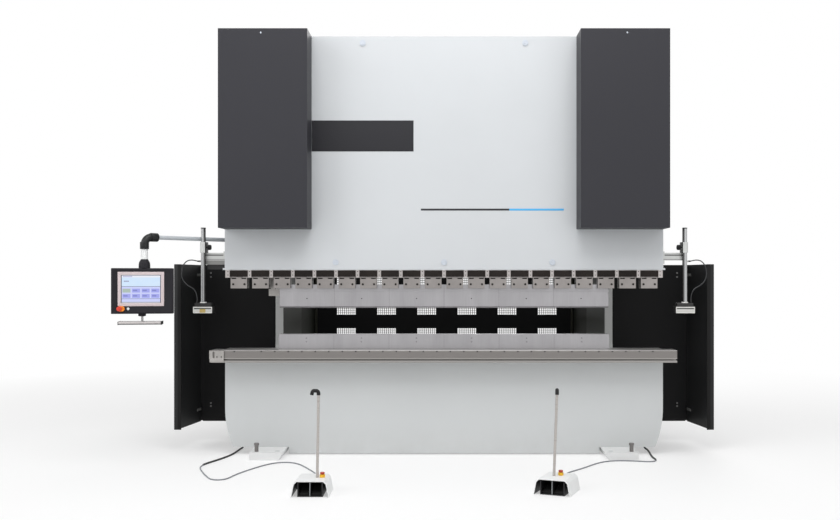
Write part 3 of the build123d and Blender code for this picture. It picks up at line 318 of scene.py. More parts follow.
# inboard of the outer rim the door edges are painted black: painted shade of the door leaf's inner face
masked(doorRim, doorRim.along("X").size() < seams["doorShadedInside"], (0.005, 0.005, 0.005))
elbowPlastic = plastic("elbowPlastic", (0.01, 0.011, 0.011), 0.4, specular=0.3)
hoodPaint = paint("hoodPaint", (0.86, 0.87, 0.87), 0.45, dust=0.1)
rightSide = hoodPaint.along("X") > 0
(leftX, leftY), (rightX, rightY) = hoods["left"], hoods["right"]
hoodMiddle = hoodPaint.node("ShaderNodeCombineXYZ", values={
    "X": rightSide * (rightX - leftX) + leftX, "Y": rightSide * (rightY - leftY) + leftY, "Z": hoods["height"]})
outwards = hoodPaint.node("ShaderNodeVectorMath", {"operation": "SUBTRACT"}, {0: hoodPaint.at, 1: hoodMiddle})
faceWay = hoodPaint.node("ShaderNodeTexCoord", output="Normal")
turnedIn = hoodPaint.node("ShaderNodeVectorMath", {"operation": "DOT_PRODUCT"}, {0: faceWay, 1: outwards},
                          "Value")
masked(hoodPaint, turnedIn < 0, (0.012, 0.012, 0.012))     # the hoods' inward faces are painted black: painted shade inside the hoods
whiteLens = plastic("whiteLens", (0.85, 0.88, 0.88), 0.25, coat=0.5)
slotFinishes = {
    "bare_steel": (bracketSteel,), "bezel_plastic": (creamPlastic,), "black_oxide_steel": (darkSteel,),
    "black_plastic": (blackPlastic, knobPlastic, elbowPlastic), "black_rubber": (blackRubber,),
    "black_sheet_paint": (blackHinge, doorRim, blackSheet, guardPost),
    "cable_sheath": (blackSheath, greySheath), "console_grey_paint": (consolePaint,),
    "dark_cover_paint": (bandPaint, stripeDark), "light_aluminium": (ringPaint, trayAlloy, tubePaint),
    "machine_grey_paint": (capPaint, machineGrey, rodSteel, motorPaint, cabinetPaint),
    "red_plastic": (orangePlastic, redPlastic, yellowPlastic, darkRed),
}
slotOf = {finish: slot for slot, group in slotFinishes.items() for finish in group}
print("finishes made")


# Modelling helpers

def idle():
    if bpy.context.object and bpy.context.object.mode != "OBJECT":
        bpy.ops.object.mode_set(mode="OBJECT")
    bpy.ops.object.select_all(action="DESELECT")


def only(piece):
    idle()
    piece.select_set(True)
    bpy.context.view_layer.objects.active = piece
    return piece


def settled(name):
    piece = bpy.context.object
    piece.name = piece.data.name = name
    bpy.ops.object.transform_apply(location=True, rotation=True, scale=True)
    return piece


def boxBetween(name, low, high):
    idle()
    bpy.ops.mesh.primitive_cube_add(size=1, location=(low + high) / 2)
    bpy.context.object.scale = high - low
    return settled(name)


def block(name, x, depth, z):          # three pairs of millimetres
    return boxBetween(name, *(spot(*corner) for corner in zip(x, depth, z)))


def ownBlock(name, x, y, z):           # the same about its own origin
    return boxBetween(name, *(own(*corner) for corner in zip(x, y, z)))


turns = {"X": (0, math.pi / 2, 0), "Y": (math.pi / 2, 0, 0), "Z": (0, 0, 0)}


def rounded(name, centre, radius, length, axis="Y", sides=24, top=None):
    idle()
    if top is None:
        bpy.ops.mesh.primitive_cylinder_add(vertices=sides, radius=radius / 1000, depth=length / 1000,
                                            location=centre, rotation=turns[axis])
    else:
        bpy.ops.mesh.primitive_cone_add(vertices=sides, radius1=radius / 1000, radius2=top / 1000,
                                        depth=length / 1000, location=centre, rotation=turns[axis])
    return settled(name)


def pick(piece, test):                 # edit mode with the faces that pass the test
    only(piece)
    bpy.ops.object.mode_set(mode="EDIT")
    bpy.ops.mesh.select_mode(type="FACE")
    bpy.ops.mesh.select_all(action="DESELECT")
    shape = bmesh.from_edit_mesh(piece.data)
    for face in shape.faces:
        face.select_set(bool(test(face)))
    bmesh.update_edit_mesh(piece.data)


def facing(way):
    return lambda face: face.normal.dot(way) > 0.9


def sink(piece, way, steps):           # insets of (width, height) on the face that looks this way
    pick(piece, facing(way))
    for width, height in steps:
        bpy.ops.mesh.inset(thickness=width / 1000, depth=height / 1000)
    idle()
    return piece


def soften(piece, width=0.6, segments=2, angle=35):
    only(piece)
    edge = piece.modifiers.new("edge", "BEVEL")
    edge.width, edge.segments, edge.limit_method = width / 1000, segments, "ANGLE"
    edge.angle_limit = math.radians(angle)
    bpy.ops.object.modifier_apply(modifier=edge.name)
    bpy.ops.object.shade_smooth_by_angle(angle=math.radians(angle))
    idle()
    return piece


def twin(piece, matrix):
    other = piece.copy()
    other.data = piece.data.copy()
    other.data.transform(matrix)
    if matrix.determinant() < 0:
        other.data.flip_normals()
    bpy.context.scene.collection.objects.link(other)
    return other


def mirrored(piece):
    return twin(piece, Matrix.Scale(-1, 4, (1, 0, 0)))


def joined(name, pieces):
    idle()
    for piece in pieces:
        piece.select_set(True)
    bpy.context.view_layer.objects.active = pieces[0]
    if len(pieces) > 1:
        bpy.ops.object.join()
    pieces[0].name = pieces[0].data.name = name
    idle()
    return pieces[0]


def repeated(piece, shifts):           # one piece from copies at these shifts, millimetres
    name = piece.name
    copies = [twin(piece, Matrix.Translation(Vector(shift) / 1000)) for shift in shifts]
    bpy.data.objects.remove(piece)
    return joined(name, copies)


def dress(piece, finish, body, slot=None, instead=()):     # a slot is looked up from the finish when none is given, but nothing uses it
    piece.data.materials.clear()
    piece.data.materials.append(finish.material)
    slot = slot or slotOf.get(finish)
    if instead:
        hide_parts(*instead)
    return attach(piece, body)


def socketScrew(name, centre, radius, height, way=front, sides=14):
    axis = "Y" if abs(way.y) > 0.5 else "Z" if abs(way.z) > 0.5 else "X"
    head = rounded(name, centre + way * height / 2000, radius, height, axis, sides)
    sink(head, way, [(radius * 0.45, 0), (radius * 0.05, -height * 0.75)])
    return soften(head, radius * 0.06, 1)


def screwRow(name, depth, radius, height, places, finish, body, sides=14, slot=None):
    screw = repeated(socketScrew(name, spot(0, depth, 0), radius, height, sides=sides), places)
    return dress(screw, finish, body, slot)


# Cables: the floor cables lie on the solids' routes, the laser cables loop a little further out

floorZ = 5.8
floorRoutes = {
    "floor_cable_left": [
        (-1734, 420, 150), (-1800, 420, 150), (-1866, 404, 96), (-1912, 348, 32), (-1934, 300, floorZ),
        *((x, depth, floorZ) for x, depth in (
            (-1938, 195), (-1941, 60), (-1957, -80), (-1988, -215), (-2028, -340), (-2066, -445),
            (-2094, -540), (-2102, -630), (-2078, -735), (-2038, -840), (-1996, -948), (-1948, -1052),
            (-1912, -1128), (-1880, -1172), (-1840, -1194), (-1796, -1188), (-1764, -1154),
            (-1746, -1090), (-1728, -990), (-1696, -880), (-1652, -765), (-1605, -650), (-1553, -540),
            (-1490, -455), (-1405, -418), (-1325, -445), (-1258, -525), (-1203, -630), (-1150, -745),
            (-1098, -860), (-1052, -985), (-1023, -1115), (-1006, -1245), (-1001, -1375))),
        (-1000, -1468, 16), (-1000, -1493, 16)],
    "floor_cable_right": [
        (1734, 420, 150), (1800, 420, 150), (1866, 404, 96), (1912, 348, 32), (1921, 290, floorZ),
        *((x, depth, floorZ) for x, depth in (
            (1925, 185), (1912, 50), (1898, -80), (1890, -205), (1897, -295), (1882, -365),
            (1830, -395), (1760, -378), (1660, -350), (1545, -342), (1440, -378), (1355, -458),
            (1278, -565), (1205, -675), (1125, -780), (1047, -880), (990, -990), (959, -1105),
            (944, -1220), (938, -1330))),
        (936.8, -1434.3, 16), (927.4, -1457.5, 16)],
}
laserRoute = [
    (44, 48, 1790), (74, 48, 1792), (112, 46, 1802), (152, 42, 1798), (184, 38, 1774), (204, 35, 1732),
    (211, 33, 1686), (207, 32, 1642), (190, 32, 1601), (160, 32, 1570), (124, 33, 1549), (94, 34, 1530),
    (76, 34, 1500), (66, 33, 1465), (63, 32, 1433), (63, 32, 1402),
]
laserX = 2228
cableSizes = {"floorRadius": 5.5, "laserRadius": 5, "sleeveRadius": 8.5,
              "sleeveEnd": {"floor_cable_left": -560, "floor_cable_right": -330},
              "boot": {"wide": 11, "narrow": 7, "ribs": 5, "groove": 1.2, "gap": 1.6, "rib": 3.4}}


def curveThrough(name, kind, places, radius):      # places in metres
    curve = bpy.data.curves.new(name, "CURVE")
    curve.dimensions = "3D"
    spline = curve.splines.new(kind)
    spline.points.add(len(places) - 1)
    for knot, place in zip(spline.points, places):
        knot.co = (*place, 1)
    curve.bevel_depth = radius / 1000
    curve.bevel_resolution = 4
    curve.use_fill_caps = True
    piece = bpy.data.objects.new(name, curve)
    bpy.context.scene.collection.objects.link(piece)
    return piece


def smoothLine(name, points, radius):
    piece = curveThrough(name, "NURBS", [spot(*point) for point in points], radius)
    spline = piece.data.splines[0]
    spline.order_u = 3
    spline.use_endpoint_u = True
    piece.data.resolution_u = 10
    return piece


def middleOf(piece):                   # points along a curve's own line
    plain = piece.data.copy()
    plain.bevel_depth = 0
    holder = bpy.data.objects.new("line", plain)
    mesh = bpy.data.meshes.new_from_object(holder)
    points = [vertex.co.copy() for vertex in mesh.vertices]
    bpy.data.objects.remove(holder)
    return points


def asMesh(piece):
    only(piece)
    bpy.ops.object.convert(target="MESH")
    bpy.ops.object.shade_smooth_by_angle(angle=math.radians(40))
    return bpy.context.object


def tubeAlong(name, places, radius):
    return asMesh(curveThrough(name, "POLY", places, radius))


def pathLength(points):
    return sum((after - before).length for before, after in zip(points, points[1:]))


def reliefBoot(name, root, way):       # ribbed, from the housing outwards along the cable
    size = cableSizes["boot"]
    boot = rounded(name, Vector((0, 0, 0.002)), size["wide"], 4, "Z", 24)
    narrower = (size["wide"] - size["narrow"]) / size["ribs"]
    for rib in range(size["ribs"]):
        sink(boot, up, [(narrower + size["groove"], 0), (0, size["gap"]),
                        (-size["groove"], 0), (0, size["rib"])])
    soften(boot, 0.4, 1)
    boot.data.transform(Matrix.Translation(root) @ way.to_track_quat("Z", "Y").to_matrix().to_4x4())
    return dress(boot, blackPlastic, "frame")


for name, route in floorRoutes.items():
    cable = smoothLine(name + "_sheath", route, cableSizes["floorRadius"])
    line = middleOf(cable)
    thick = cableSizes["sleeveRadius"]
    cut = spot(0, cableSizes["sleeveEnd"][name], 0).y
    covered = []
    for point in line[2:]:
        if point.y < cut:
            break
        covered.append(Vector((point.x, point.y, max(point.z, (thick + 0.3) / 1000))))
    sleeve = tubeAlong(name + "_sleeve", covered, thick)
    dress(sleeve, blackSheath, "frame")
    boots = [reliefBoot(name + "_boot", line[-1], line[-3] - line[-1]),
             reliefBoot(name + "_outlet_boot", line[0], line[2] - line[0])]
    dress(cable, greySheath, "frame", instead=(name,))
    spot(*route[0])
    round(pathLength(line), 3)
    print(name, "cable length", round(pathLength(line), 3))

for side, sign in (("left", -1), ("right", 1)):
    route = [(sign * (laserX + out), depth, z) for out, depth, z in laserRoute]
    name = "laser_cable_" + side
    guide = smoothLine(name + "_guide", route, 0)
    line = middleOf(guide)
    bpy.data.objects.remove(guide)
    tube = tubeAlong(name + "_sheath", line, cableSizes["laserRadius"])
    tube.data.materials.clear()
    tube.data.materials.append(darkSheath.material)
    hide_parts(name)
    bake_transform(tube)
    round(pathLength(line), 3)
    print(name, "cable length", round(pathLength(line), 3))
print("cables made")


# Finishes of the solids

solidsOf = {
    framePaint: ("side_frame_left", "side_frame_right"), bedPaint: ("bed_front_plate",),
    whitePaint: ("feet", "console_bracket"), ramPaint: ("ram_plate",), tubePaint: ("console_drop_tube",),
    hoodPaint: ("pedal_hoods",), edgeSteel: ("ram_edge",), tableSteel: ("table", "ram_guides"),
    railSteel: ("table_rail",), bracketShadedHoles: ("table_end_bracket",), clampSteel: ("clamp_plates",),
    shadedHolderSteel: ("punch_holders",), bracketSteel: ("scale_bracket",), boltSteel: ("levelling_bolts",),
    toolSteel: ("punches", "dies"), coverPaint: ("cylinder_covers",),
    blackSheet: ("side_guards", "side_guard_hinges", "rear_guard", "rear_guard_feet"),
    doorSheet: ("side_door_left", "side_door_right"), wingPaint: ("rear_wings",),
    darkSteel: ("adjuster_blocks",), machineGrey: ("cylinders", "cover_hooks", "tie_beams", "oil_tank"),
    motorPaint: ("pump_motor",), cabinetPaint: ("electrical_cabinet",), capPaint: ("screw_caps",),
    chromeBar: ("piston_rods",), postChrome: ("laser_post_left", "laser_post_right"),
    rodSteel: ("pedal_rods",), armAlloy: ("laser_arms",), collarAlloy: ("laser_collars",),
    sensorPaint: ("laser_sensor_left", "laser_sensor_right"), trayAlloy: ("console_tray",),
    armPaint: ("console_arm",), blackPlastic: ("pedal_bodies", "cable_outlets"),
    elbowPlastic: ("console_elbow",), blackRubber: ("pedal_grips", "pedal_treadles"),
    consolePaint: ("console_panel",), creamPlastic: ("console_bezel",),
}


def coat(node, finish):
    slots = nodes[node].material_slots
    if not slots:
        nodes[node].data.materials.append(finish.material)
    for place in slots:
        place.material = finish.material


for finish, group in solidsOf.items():
    for node in group:
        coat(node, finish)
print("solids finished")


# Ram: painted band, rule lines, cap rings

ram = {"band": ((-1224, -282), (2805, 3092), 1.6), "darkLine": ((-214, 604), (2258, 2276), 1.2),
       "blueLine": ((604, 1109), (2258, 2276), 1.2), "capProud": 7, "capRadius": 21,
       "caps": ((-752, 3809), (752, 3809), (-1003, 1779), (0, 1779), (1003, 1779))}
for name, finish in (("band", bandPaint), ("darkLine", stripeDark), ("blueLine", stripeBlue)):
    x, z, proud = ram[name]
    strip = sink(block("ram_" + name, x, (-proud, 0.4), z), front, [(2, 0.3)])
    dress(soften(strip, 0.4), finish, "ram")
ring = rounded("ram_cap_rings", spot(0, -ram["capProud"], 0), ram["capRadius"], 2.4, "Y", 40)
sink(ring, front, [(4, 0), (1.2, -1.8), (6, 0), (0.8, 1.2)])
ring = repeated(soften(ring, 0.4), [(x, 0, z) for x, z in ram["caps"]])
dress(ring, capPaint, "ram")

# Clamps: bolts, block screws and the small screws in the strip's posts

clamps = {"first": -1900, "pitch": 200, "count": 20, "plateFront": 5, "boltRadius": 9.5, "boltSpread": 52,
          "boltZ": 1576, "blockFront": -8, "blockRadius": 5.5,
          "blockScrews": ((-62, 1690), (62, 1690), (-20, 1662), (20, 1662)),
          "postRadius": 4.5, "postZ": (1694, 1661)}
middles = [clamps["first"] + clamps["pitch"] * i for i in range(clamps["count"])]
posts = [x - clamps["pitch"] / 2 for x in (*middles, middles[-1] + clamps["pitch"])]
screwRow("clamp_bolts", clamps["plateFront"], clamps["boltRadius"], 7,
         [(x + side * clamps["boltSpread"], 0, clamps["boltZ"]) for x in middles for side in (-1, 1)],
         darkSteel, "ram")
screwRow("block_screws", clamps["blockFront"], clamps["blockRadius"], 4,
         [(x + shift, 0, z) for x in middles for shift, z in clamps["blockScrews"]], darkSteel, "ram", 10)
screwRow("post_screws", 0, clamps["postRadius"], 3, [(x, 0, z) for x in posts for z in clamps["postZ"]],
         darkSteel, "ram", 10)

# Tooling: a lifting hole in each punch, two holes in each die

toolMiddles = (-1275, -765, -255, 255, 765, 1275)
plugs = {"punch_plugs": {"depth": 46.5, "radius": 5, "height": 2.4, "steps": [(1.6, 0), (0.5, -1.2)],
                         "z": (1443,), "body": "ram"},
         "die_plugs": {"depth": 5, "radius": 6, "height": 1.6, "steps": [(1.4, 0), (0.4, -0.9)],
                       "z": (1077, 1044), "body": "frame"}}
for name, plug in plugs.items():
    mark = rounded(name, spot(0, plug["depth"], 0), plug["radius"], plug["height"], "Y", 16)
    mark = soften(sink(mark, front, plug["steps"]), 0.2, 1)
    dress(repeated(mark, [(x, 0, z) for x in toolMiddles for z in plug["z"]]), darkSteel, plug["body"])

# Table rail: the row of screws along its top edge, and the end bracket's foot

rail = {"front": -207, "z": 969, "first": -1898, "pitch": 122.2, "count": 32, "missing": 1, "radius": 6.5,
        "bracketFoot": ((-2119, -1992), (-219, -200), (871, 900.5))}
screwRow("rail_screws", rail["front"], rail["radius"], 2.4,
         [(rail["first"] + rail["pitch"] * i, 0, rail["z"]) for i in range(rail["count"])
          if i != rail["missing"]], darkSteel, "frame", 12)
bracketFoot = sink(block("end_bracket_foot", *rail["bracketFoot"]), front, [(3, 0.6)])
dress(soften(bracketFoot, 1.2), bracketSteel, "frame")
print("ram and table dressed")

# Cylinder covers: one screw near the top of each

coverScrew = {"x": 1641, "depth": -305, "z": 3831, "radius": 8}
screwRow("cover_screws", coverScrew["depth"], coverScrew["radius"], 3,
         [(side * coverScrew["x"], 0, coverScrew["z"]) for side in (-1, 1)], capPaint, "frame", 16)

# Laser arms: cable box, sensor windows, knobs, rings, cable ends

laser = {"box": ((-2198, -2031), (30, 66), (1713, 1758)), "front": -30, "windowHalf": 80,
         "windowZ": (1346, 1356), "lineZ": (1327, 1331), "brassHalf": 27, "brassZ": (1314, 1346),
         "knobX": (2162, 2184), "knobZ": 1917, "knobRadius": 25, "foot": (31, 1402, 1411),
         "cap": (23.2, 2090, 2099), "plug": (9, 6.5, 34), "plugUp": 16, "boot": (8.5, 6, 24)}


def facePlate(name, x, half, z, proud, step, edge):      # on the front of a sensor
    plate = block(name, span(x, half), (laser["front"] - proud, laser["front"] + 0.5), z)
    return soften(sink(plate, front, [step]), edge)


boxed = sink(block("laser_cable_box", *laser["box"]), front, [(6, 0), (1, -1.5)])
dress(soften(boxed, 2.5, 3), blackPlastic, "ram")
for side, sign in (("left", -1), ("right", 1)):
    body, x = "laser_" + side, sign * laserX
    window = facePlate("laser_window_" + side, x, laser["windowHalf"], laser["windowZ"], 1.2, (1.5, -0.7), 0.3)
    dress(window, blackPlastic, body)
    line = facePlate("laser_line_" + side, x, laser["windowHalf"], laser["lineZ"], 0.8, (0.8, -0.4), 0.2)
    dress(line, bracketSteel, body, "light_aluminium")
    near, far = laser["knobX"]
    knob = rounded("laser_knob_" + side, spot((near + far) / 2 * sign, 0, laser["knobZ"]),
                   laser["knobRadius"], far - near, "X", 28)
    sink(knob, -right * sign, [(2.4, 3.4), (3.6, 3), (5, 2.4), (6, 1.2)])
    sink(knob, right * sign, [(2.4, 3), (4, 2.6), (6, 1.4)])
    dress(soften(knob, 1.2, 2, 15), knobPlastic, "ram")
    for part, step, finish in (("foot", (3, 1.5), ringPaint), ("cap", (3, 1), blackPlastic)):
        radius, low, high = laser[part]
        disc = rounded("laser_" + part + "_" + side, spot(x, 0, (low + high) / 2), radius, high - low, "Z", 40)
        dress(soften(sink(disc, up, [step]), 1), finish, body)
    out, depth, z = laserRoute[-1]
    wide, narrow, length = laser["plug"]
    plug = rounded("laser_plug_" + side, spot(x + sign * out, depth, z + laser["plugUp"]), wide, length, "Z",
                   24, narrow)
    dress(soften(sink(plug, up, [(1.2, 4), (0.5, 8)]), 0.8), blackPlastic, body)
    out, depth, z = laserRoute[0]
    wide, narrow, length = laser["boot"]
    inner, outer = (wide, narrow)[::sign]      # the wide end is at the arm
    boot = rounded("laser_boot_" + side, spot(x + sign * (out + length / 2), depth, z), inner, length, "X",
                   24, outer)
    dress(soften(boot, 0.8), blackPlastic, "ram")
brass = facePlate("laser_brass_plate", -laserX, laser["brassHalf"], laser["brassZ"], 1.6, (4, -0.6), 0.4)
dress(brass, brassPlate, "laser_left")
print("laser arms dressed")


# Console: screen, stop button, lamp, housing, tray and the elbow's cuffs

console = {"axis": (-2.6522, -1.3024, 1.721), "turn": 10, "shift": -0.024, "face": -45,
           "body": ((-255, 273), (-45, 45), (-403, 0)), "stub": ((-26, 34), (-30, 30), (-423, -402)),
           "dome": ((50, 0), (51, 28), (47, 50), (38, 66), (32, 77)), "screenLeft": -164, "screenLow": -308,
           "frame": ((-197, 197), (-50, -45), (-335, -33)), "stop": (-176, -358), "lamp": (-109, -358),
           "tray": ((-179, 179), (-155, 25), (-493.5, -468.5)), "trayEndX": (178, 184),
           "trayEnd": ((-156, 26), (-496, -466)), "trayArm": ((-10, 10), (45, 51), (-493.5, -313)),
           "trayReach": 0.021, "cuffRadius": 39, "lowCuff": (1.921, 62), "armCuff": (1.996, 68),
           "armCuffBack": 0.094, "armTurn": math.radians(228.8)}
panelPlace = (Matrix.Translation(console["axis"]) @ Matrix.Rotation(math.radians(console["turn"]), 4, "Z")
              @ Matrix.Translation((console["shift"], 0, 0)))


def onPanel(piece):                    # drawn in the panel's own frame: right, into it, up from its top
    piece.data.transform(panelPlace)
    return piece


screenGlow = Finish("screenGlow", (0.02, 0.022, 0.03), 0.25, specular=0.4)
turned = screenGlow.node("ShaderNodeMapping", {"vector_type": "TEXTURE"}, {
    "Vector": screenGlow.at, "Location": console["axis"],
    "Rotation": (0, 0, math.radians(console["turn"])), "Scale": (1, 1, 1)})
across = screenGlow.node("ShaderNodeSeparateXYZ", values={"Vector": turned}, output="X") - (
    console["screenLeft"] / 1000 + console["shift"])
upwards = screenGlow.node("ShaderNodeSeparateXYZ", values={"Vector": turned}, output="Z") - (
    console["screenLow"] / 1000)
column = screenGlow.node("ShaderNodeMath", {"operation": "MODULO"}, {0: across, 1: 0.0815})
row = screenGlow.node("ShaderNodeMath", {"operation": "MODULO"}, {0: upwards - 0.04, 1: 0.047})
tiles = within(column, 0.007, 0.075) * within(row, 0.006, 0.04) * within(upwards, 0.045, 0.134)
picture = screenGlow.mix(screenGlow.noise(14, 2), (0.6, 0.78, 1.0, 1), (0.72, 0.86, 1.0, 1))
for mask, colour in (                  # plain fields, later ones over earlier ones
        (upwards > 0.242, (0.16, 0.18, 0.25)),
        (within(upwards, 0.226, 0.242), (0.86, 0.88, 0.95)),
        (within(upwards, 0.229, 0.238) * within(across, 0.01, 0.09), (0.5, 0.5, 0.72)),
        (within(upwards, 0.188, 0.197) * within(across, 0.018, 0.062), (0.32, 0.34, 0.5)),
        (within(upwards, 0.144, 0.148), (0.12, 0.14, 0.22)),
        (upwards < 0.144, (0.62, 0.66, 0.98)),
        (tiles, (0.36, 0.38, 0.86)),
        (tiles * within(row, 0.018, 0.03) * within(column, 0.014, 0.05), (0.22, 0.24, 0.6)),
        (tiles * (across < 0.08) * (upwards > 0.09), (0.42, 0.52, 0.45)),
        (within(upwards, 0.036, 0.04), (0.14, 0.17, 0.34)),
        (upwards < 0.012, (0.45, 0.47, 0.55))):
    picture = screenGlow.mix(mask, picture, (*colour, 1))
screenGlow.give("Emission Color", picture)
screenGlow.give("Emission Strength", 0.92)
screenGlow.give("Roughness", screenGlow.noise(40, 2) * 0.1 + 0.2)
coat("console_screen", screenGlow)

face = console["face"]
stopX, stopZ = console["stop"]
collar = rounded("stop_collar", own(stopX, face - 5, stopZ), 24, 12, "Y", 40)
pick(collar, lambda part: part.calc_center_median().x > (stopX + 2) / 1000)
bpy.ops.transform.translate(value=(0.014, 0, 0))
idle()
sink(collar, front, [(4, 1.5), (2, -2)])
dress(onPanel(soften(collar, 1.2, 3)), orangePlastic, "console", instead=("console_buttons",))
head = rounded("stop_head", own(stopX - 8, face - 18, stopZ), 22, 17, "Y", 40)
sink(head, rear, [(7, 0), (1, 6)])
sink(head, front, [(5, 1.6), (7, 0.8)])
dress(onPanel(soften(head, 4, 4)), redPlastic, "console")
lamp = rounded("panel_lamp", own(console["lamp"][0], face - 3.5, console["lamp"][1]), 11, 7.5, "Y", 32)
sink(lamp, front, [(2.2, 0), (0.5, -1.2), (1, 0), (2.5, 2.6)])
dress(onPanel(soften(lamp, 0.8, 2)), whiteLens, "console")
body = ownBlock("console_body", *console["body"])
sink(body, front, [(14, 3), (2, 0), (2, -1.2)])
sink(body, rear, [(16, 6), (2, 0)])
soften(body, 6, 4)
stub = sink(ownBlock("console_stub", *console["stub"]), down, [(8, 0), (1, 3)])
soften(stub, 4, 3)
dome = rounded("console_dome", own(-console["shift"] * 1000, 0, 1), console["dome"][0][0], 2, "Z", 48)
for (wide, low), (narrow, high) in zip(console["dome"], console["dome"][1:]):
    sink(dome, up, [(wide - narrow, high - low)])
soften(dome, 1.2, 2, 25)
body = joined("console_body", [body, stub, dome])
dress(onPanel(body), consolePaint, "console", instead=("console_panel",))
rim = sink(ownBlock("console_frame", *console["frame"]), front, [(4, 1), (23, 0), (1.5, -4.8)])
dress(onPanel(soften(rim, 0.8, 2)), creamPlastic, "console", instead=("console_bezel",))
bar = soften(sink(ownBlock("console_tray_bar", *console["tray"]), up, [(3, 0), (1.5, -3)]), 1.5)
ends = []
for side in (-1, 1):
    end = ownBlock("tray_end", sorted(side * x for x in console["trayEndX"]), *console["trayEnd"])
    ends.append(soften(sink(end, right * side, [(2, -0.8)]), 1.5))
dress(onPanel(bar), trayAlloy, "console", instead=("console_tray",))
dress(onPanel(joined("console_tray_ends", ends)), blackPlastic, "console")
arm = ownBlock("console_tray_arm", *console["trayArm"])
pick(arm, facing(front))
bpy.ops.mesh.subdivide(number_cuts=6)
idle()
pick(arm, lambda part: part.normal.y < -0.9 and part.calc_center_median().z < -0.47)
bpy.ops.mesh.extrude_region_move(TRANSFORM_OT_translate={"value": (0, -console["trayReach"], 0)})
idle()
dress(onPanel(soften(arm, 1, 1)), tubePaint, "console")
axisX, axisY = console["axis"][:2]
height, length = console["lowCuff"]
cuff = rounded("elbow_cuff_low", Vector((axisX, axisY, height)), console["cuffRadius"], length, "Z", 48)
sink(cuff, down, [(5, 0), (1, -4)])
dress(soften(cuff, 2.5, 3), elbowPlastic, "console")
height, length = console["armCuff"]
cuff = rounded("elbow_cuff_arm", own(0, 0, 0), console["cuffRadius"], length, "X", 48)
sink(cuff, left, [(5, 0), (1, -4)])
soften(cuff, 2.5, 3)
armTurn = Matrix.Rotation(console["armTurn"], 4, "Z")
cuffMiddle = Vector((axisX, axisY, height)) - armTurn @ right * console["armCuffBack"]
cuff.data.transform(Matrix.Translation(cuffMiddle) @ armTurn)
dress(cuff, elbowPlastic, "console_arm")
print("console dressed")

# Guards and doors: hinge straps, screws, windows, corner strips

guards = {"hingeX": 2440, "hingeDepth": 758, "flare": 8.25, "strapZ": (327, 1664), "strapLen": (24, 120),
          "screwX": 2330, "screwZ": (354, 384, 1644, 1684), "screwRadius": 9, "face": 743,
          "doorZ": (206, 1762)}
window = {"middle": 33, "pitch": 490, "count": 6, "width": 232, "height": 466, "lows": (557, 1184),
          "depth": 2946, "mesh": 24.2, "bar": 6.5, "thick": 3, "cornerX": (1544, 1564),
          "cornerDepth": (2899, 2941), "cornerZ": (90, 1838)}
screwRow("guard_screws", guards["face"], guards["screwRadius"], 5,
         [(side * guards["screwX"], 0, z) for side in (-1, 1) for z in guards["screwZ"]], blackHinge, "frame",
         slot="black_oxide_steel")
rightHinge = (Matrix.Translation(spot(guards["hingeX"], guards["hingeDepth"], 0))
              @ Matrix.Rotation(math.radians(guards["flare"]), 4, "Z"))
straps = []
for z in guards["strapZ"]:             # drawn about the hinge, then turned to the door
    near, far = guards["strapLen"]
    strap = ownBlock("hinge_strap", (-20, -14), (-far, -near), span(z, 13))
    sink(strap, left, [(3, 0.8)])
    straps.append(soften(strap, 1.5))
    for along in (48, 92):
        straps.append(socketScrew("strap_screw", own(-20.8, -along, z), 6, 4, left, 10))
straps = joined("hinge_straps_right", straps)
straps.data.transform(rightHinge)
edge = ownBlock("door_edge", (-52, 17), (-603, -596), guards["doorZ"])
sink(edge, rear, [(5, -1.5)])
edge = soften(edge, 1.5)
edge.data.transform(rightHinge)
dress(mirrored(straps), blackHinge, "door_left").name = "hinge_straps_left"
dress(straps, blackHinge, "door_right")
dress(mirrored(edge), doorRim, "door_left").name = "door_edge_left"
dress(edge, doorRim, "door_right").name = "door_edge_right"

cover = block("hinge_cover_strips", (2396, 2412.5), (772, 789), guards["doorZ"])
pick(cover, facing(right))
bpy.ops.mesh.subdivide(number_cuts=1)
idle()
pick(cover, lambda part: part.normal.x > 0.9 and part.calc_center_median().y > frontY + 0.78)
bpy.ops.mesh.extrude_region_move(TRANSFORM_OT_translate={"value": (0.043, 0, 0)})
idle()
cover = soften(cover, 0.8, 1)
cover = joined("hinge_cover_strips", [cover, mirrored(cover)])
dress(cover, blackSheet, "frame")

centre = window["middle"] - window["pitch"] * (window["count"] - 1) / 2
half, bar, thick = window["width"] / 2, window["bar"] / 2, window["thick"]
wires = []
columns = round(window["width"] / window["mesh"])
for i in range(columns + 1):
    x = -half + window["width"] * i / columns
    wires.append(block("wire", span(x, bar), (window["depth"], window["depth"] + thick),
                       (0, window["height"])))
rows = round(window["height"] / window["mesh"])
for i in range(rows + 1):
    z = window["height"] * i / rows
    wires.append(block("wire", (-half, half), (window["depth"] + 0.4, window["depth"] + thick - 0.4),
                       span(z, bar)))
mesh = soften(joined("rear_window_mesh", wires), 0.8, 1)
mesh = repeated(mesh, [(centre + window["pitch"] * i, 0, low) for i in range(window["count"])
                       for low in window["lows"]])
dress(mesh, blackSheet, "frame")
strip = block("rear_corner_strips", window["cornerX"], window["cornerDepth"], window["cornerZ"])
sink(strip, front, [(4, 0), (1.5, -3)])
strip = soften(strip, 1.5)
strip = joined("rear_corner_strips", [strip, mirrored(strip)])
dress(strip, guardPost, "frame")
print("guards dressed")

# Feet: a pale ring with a sunk middle over each anchor hole

feet = {"ringRadius": 23, "ringWidth": 6, "ringZ": 71.2, "anchorX": 1506, "anchorY": 1127}
ring = rounded("anchor_washers", own(0, 0, feet["ringZ"]), feet["ringRadius"], 2.4, "Z", 40)
ring = soften(sink(ring, up, [(feet["ringWidth"], 0), (0.6, -2.1)]), 0.5)
ring = repeated(ring, [(sx * feet["anchorX"], sy * feet["anchorY"], 0) for sx in (-1, 1) for sy in (-1, 1)])
dress(ring, cabinetPaint, "frame", "white_paint")

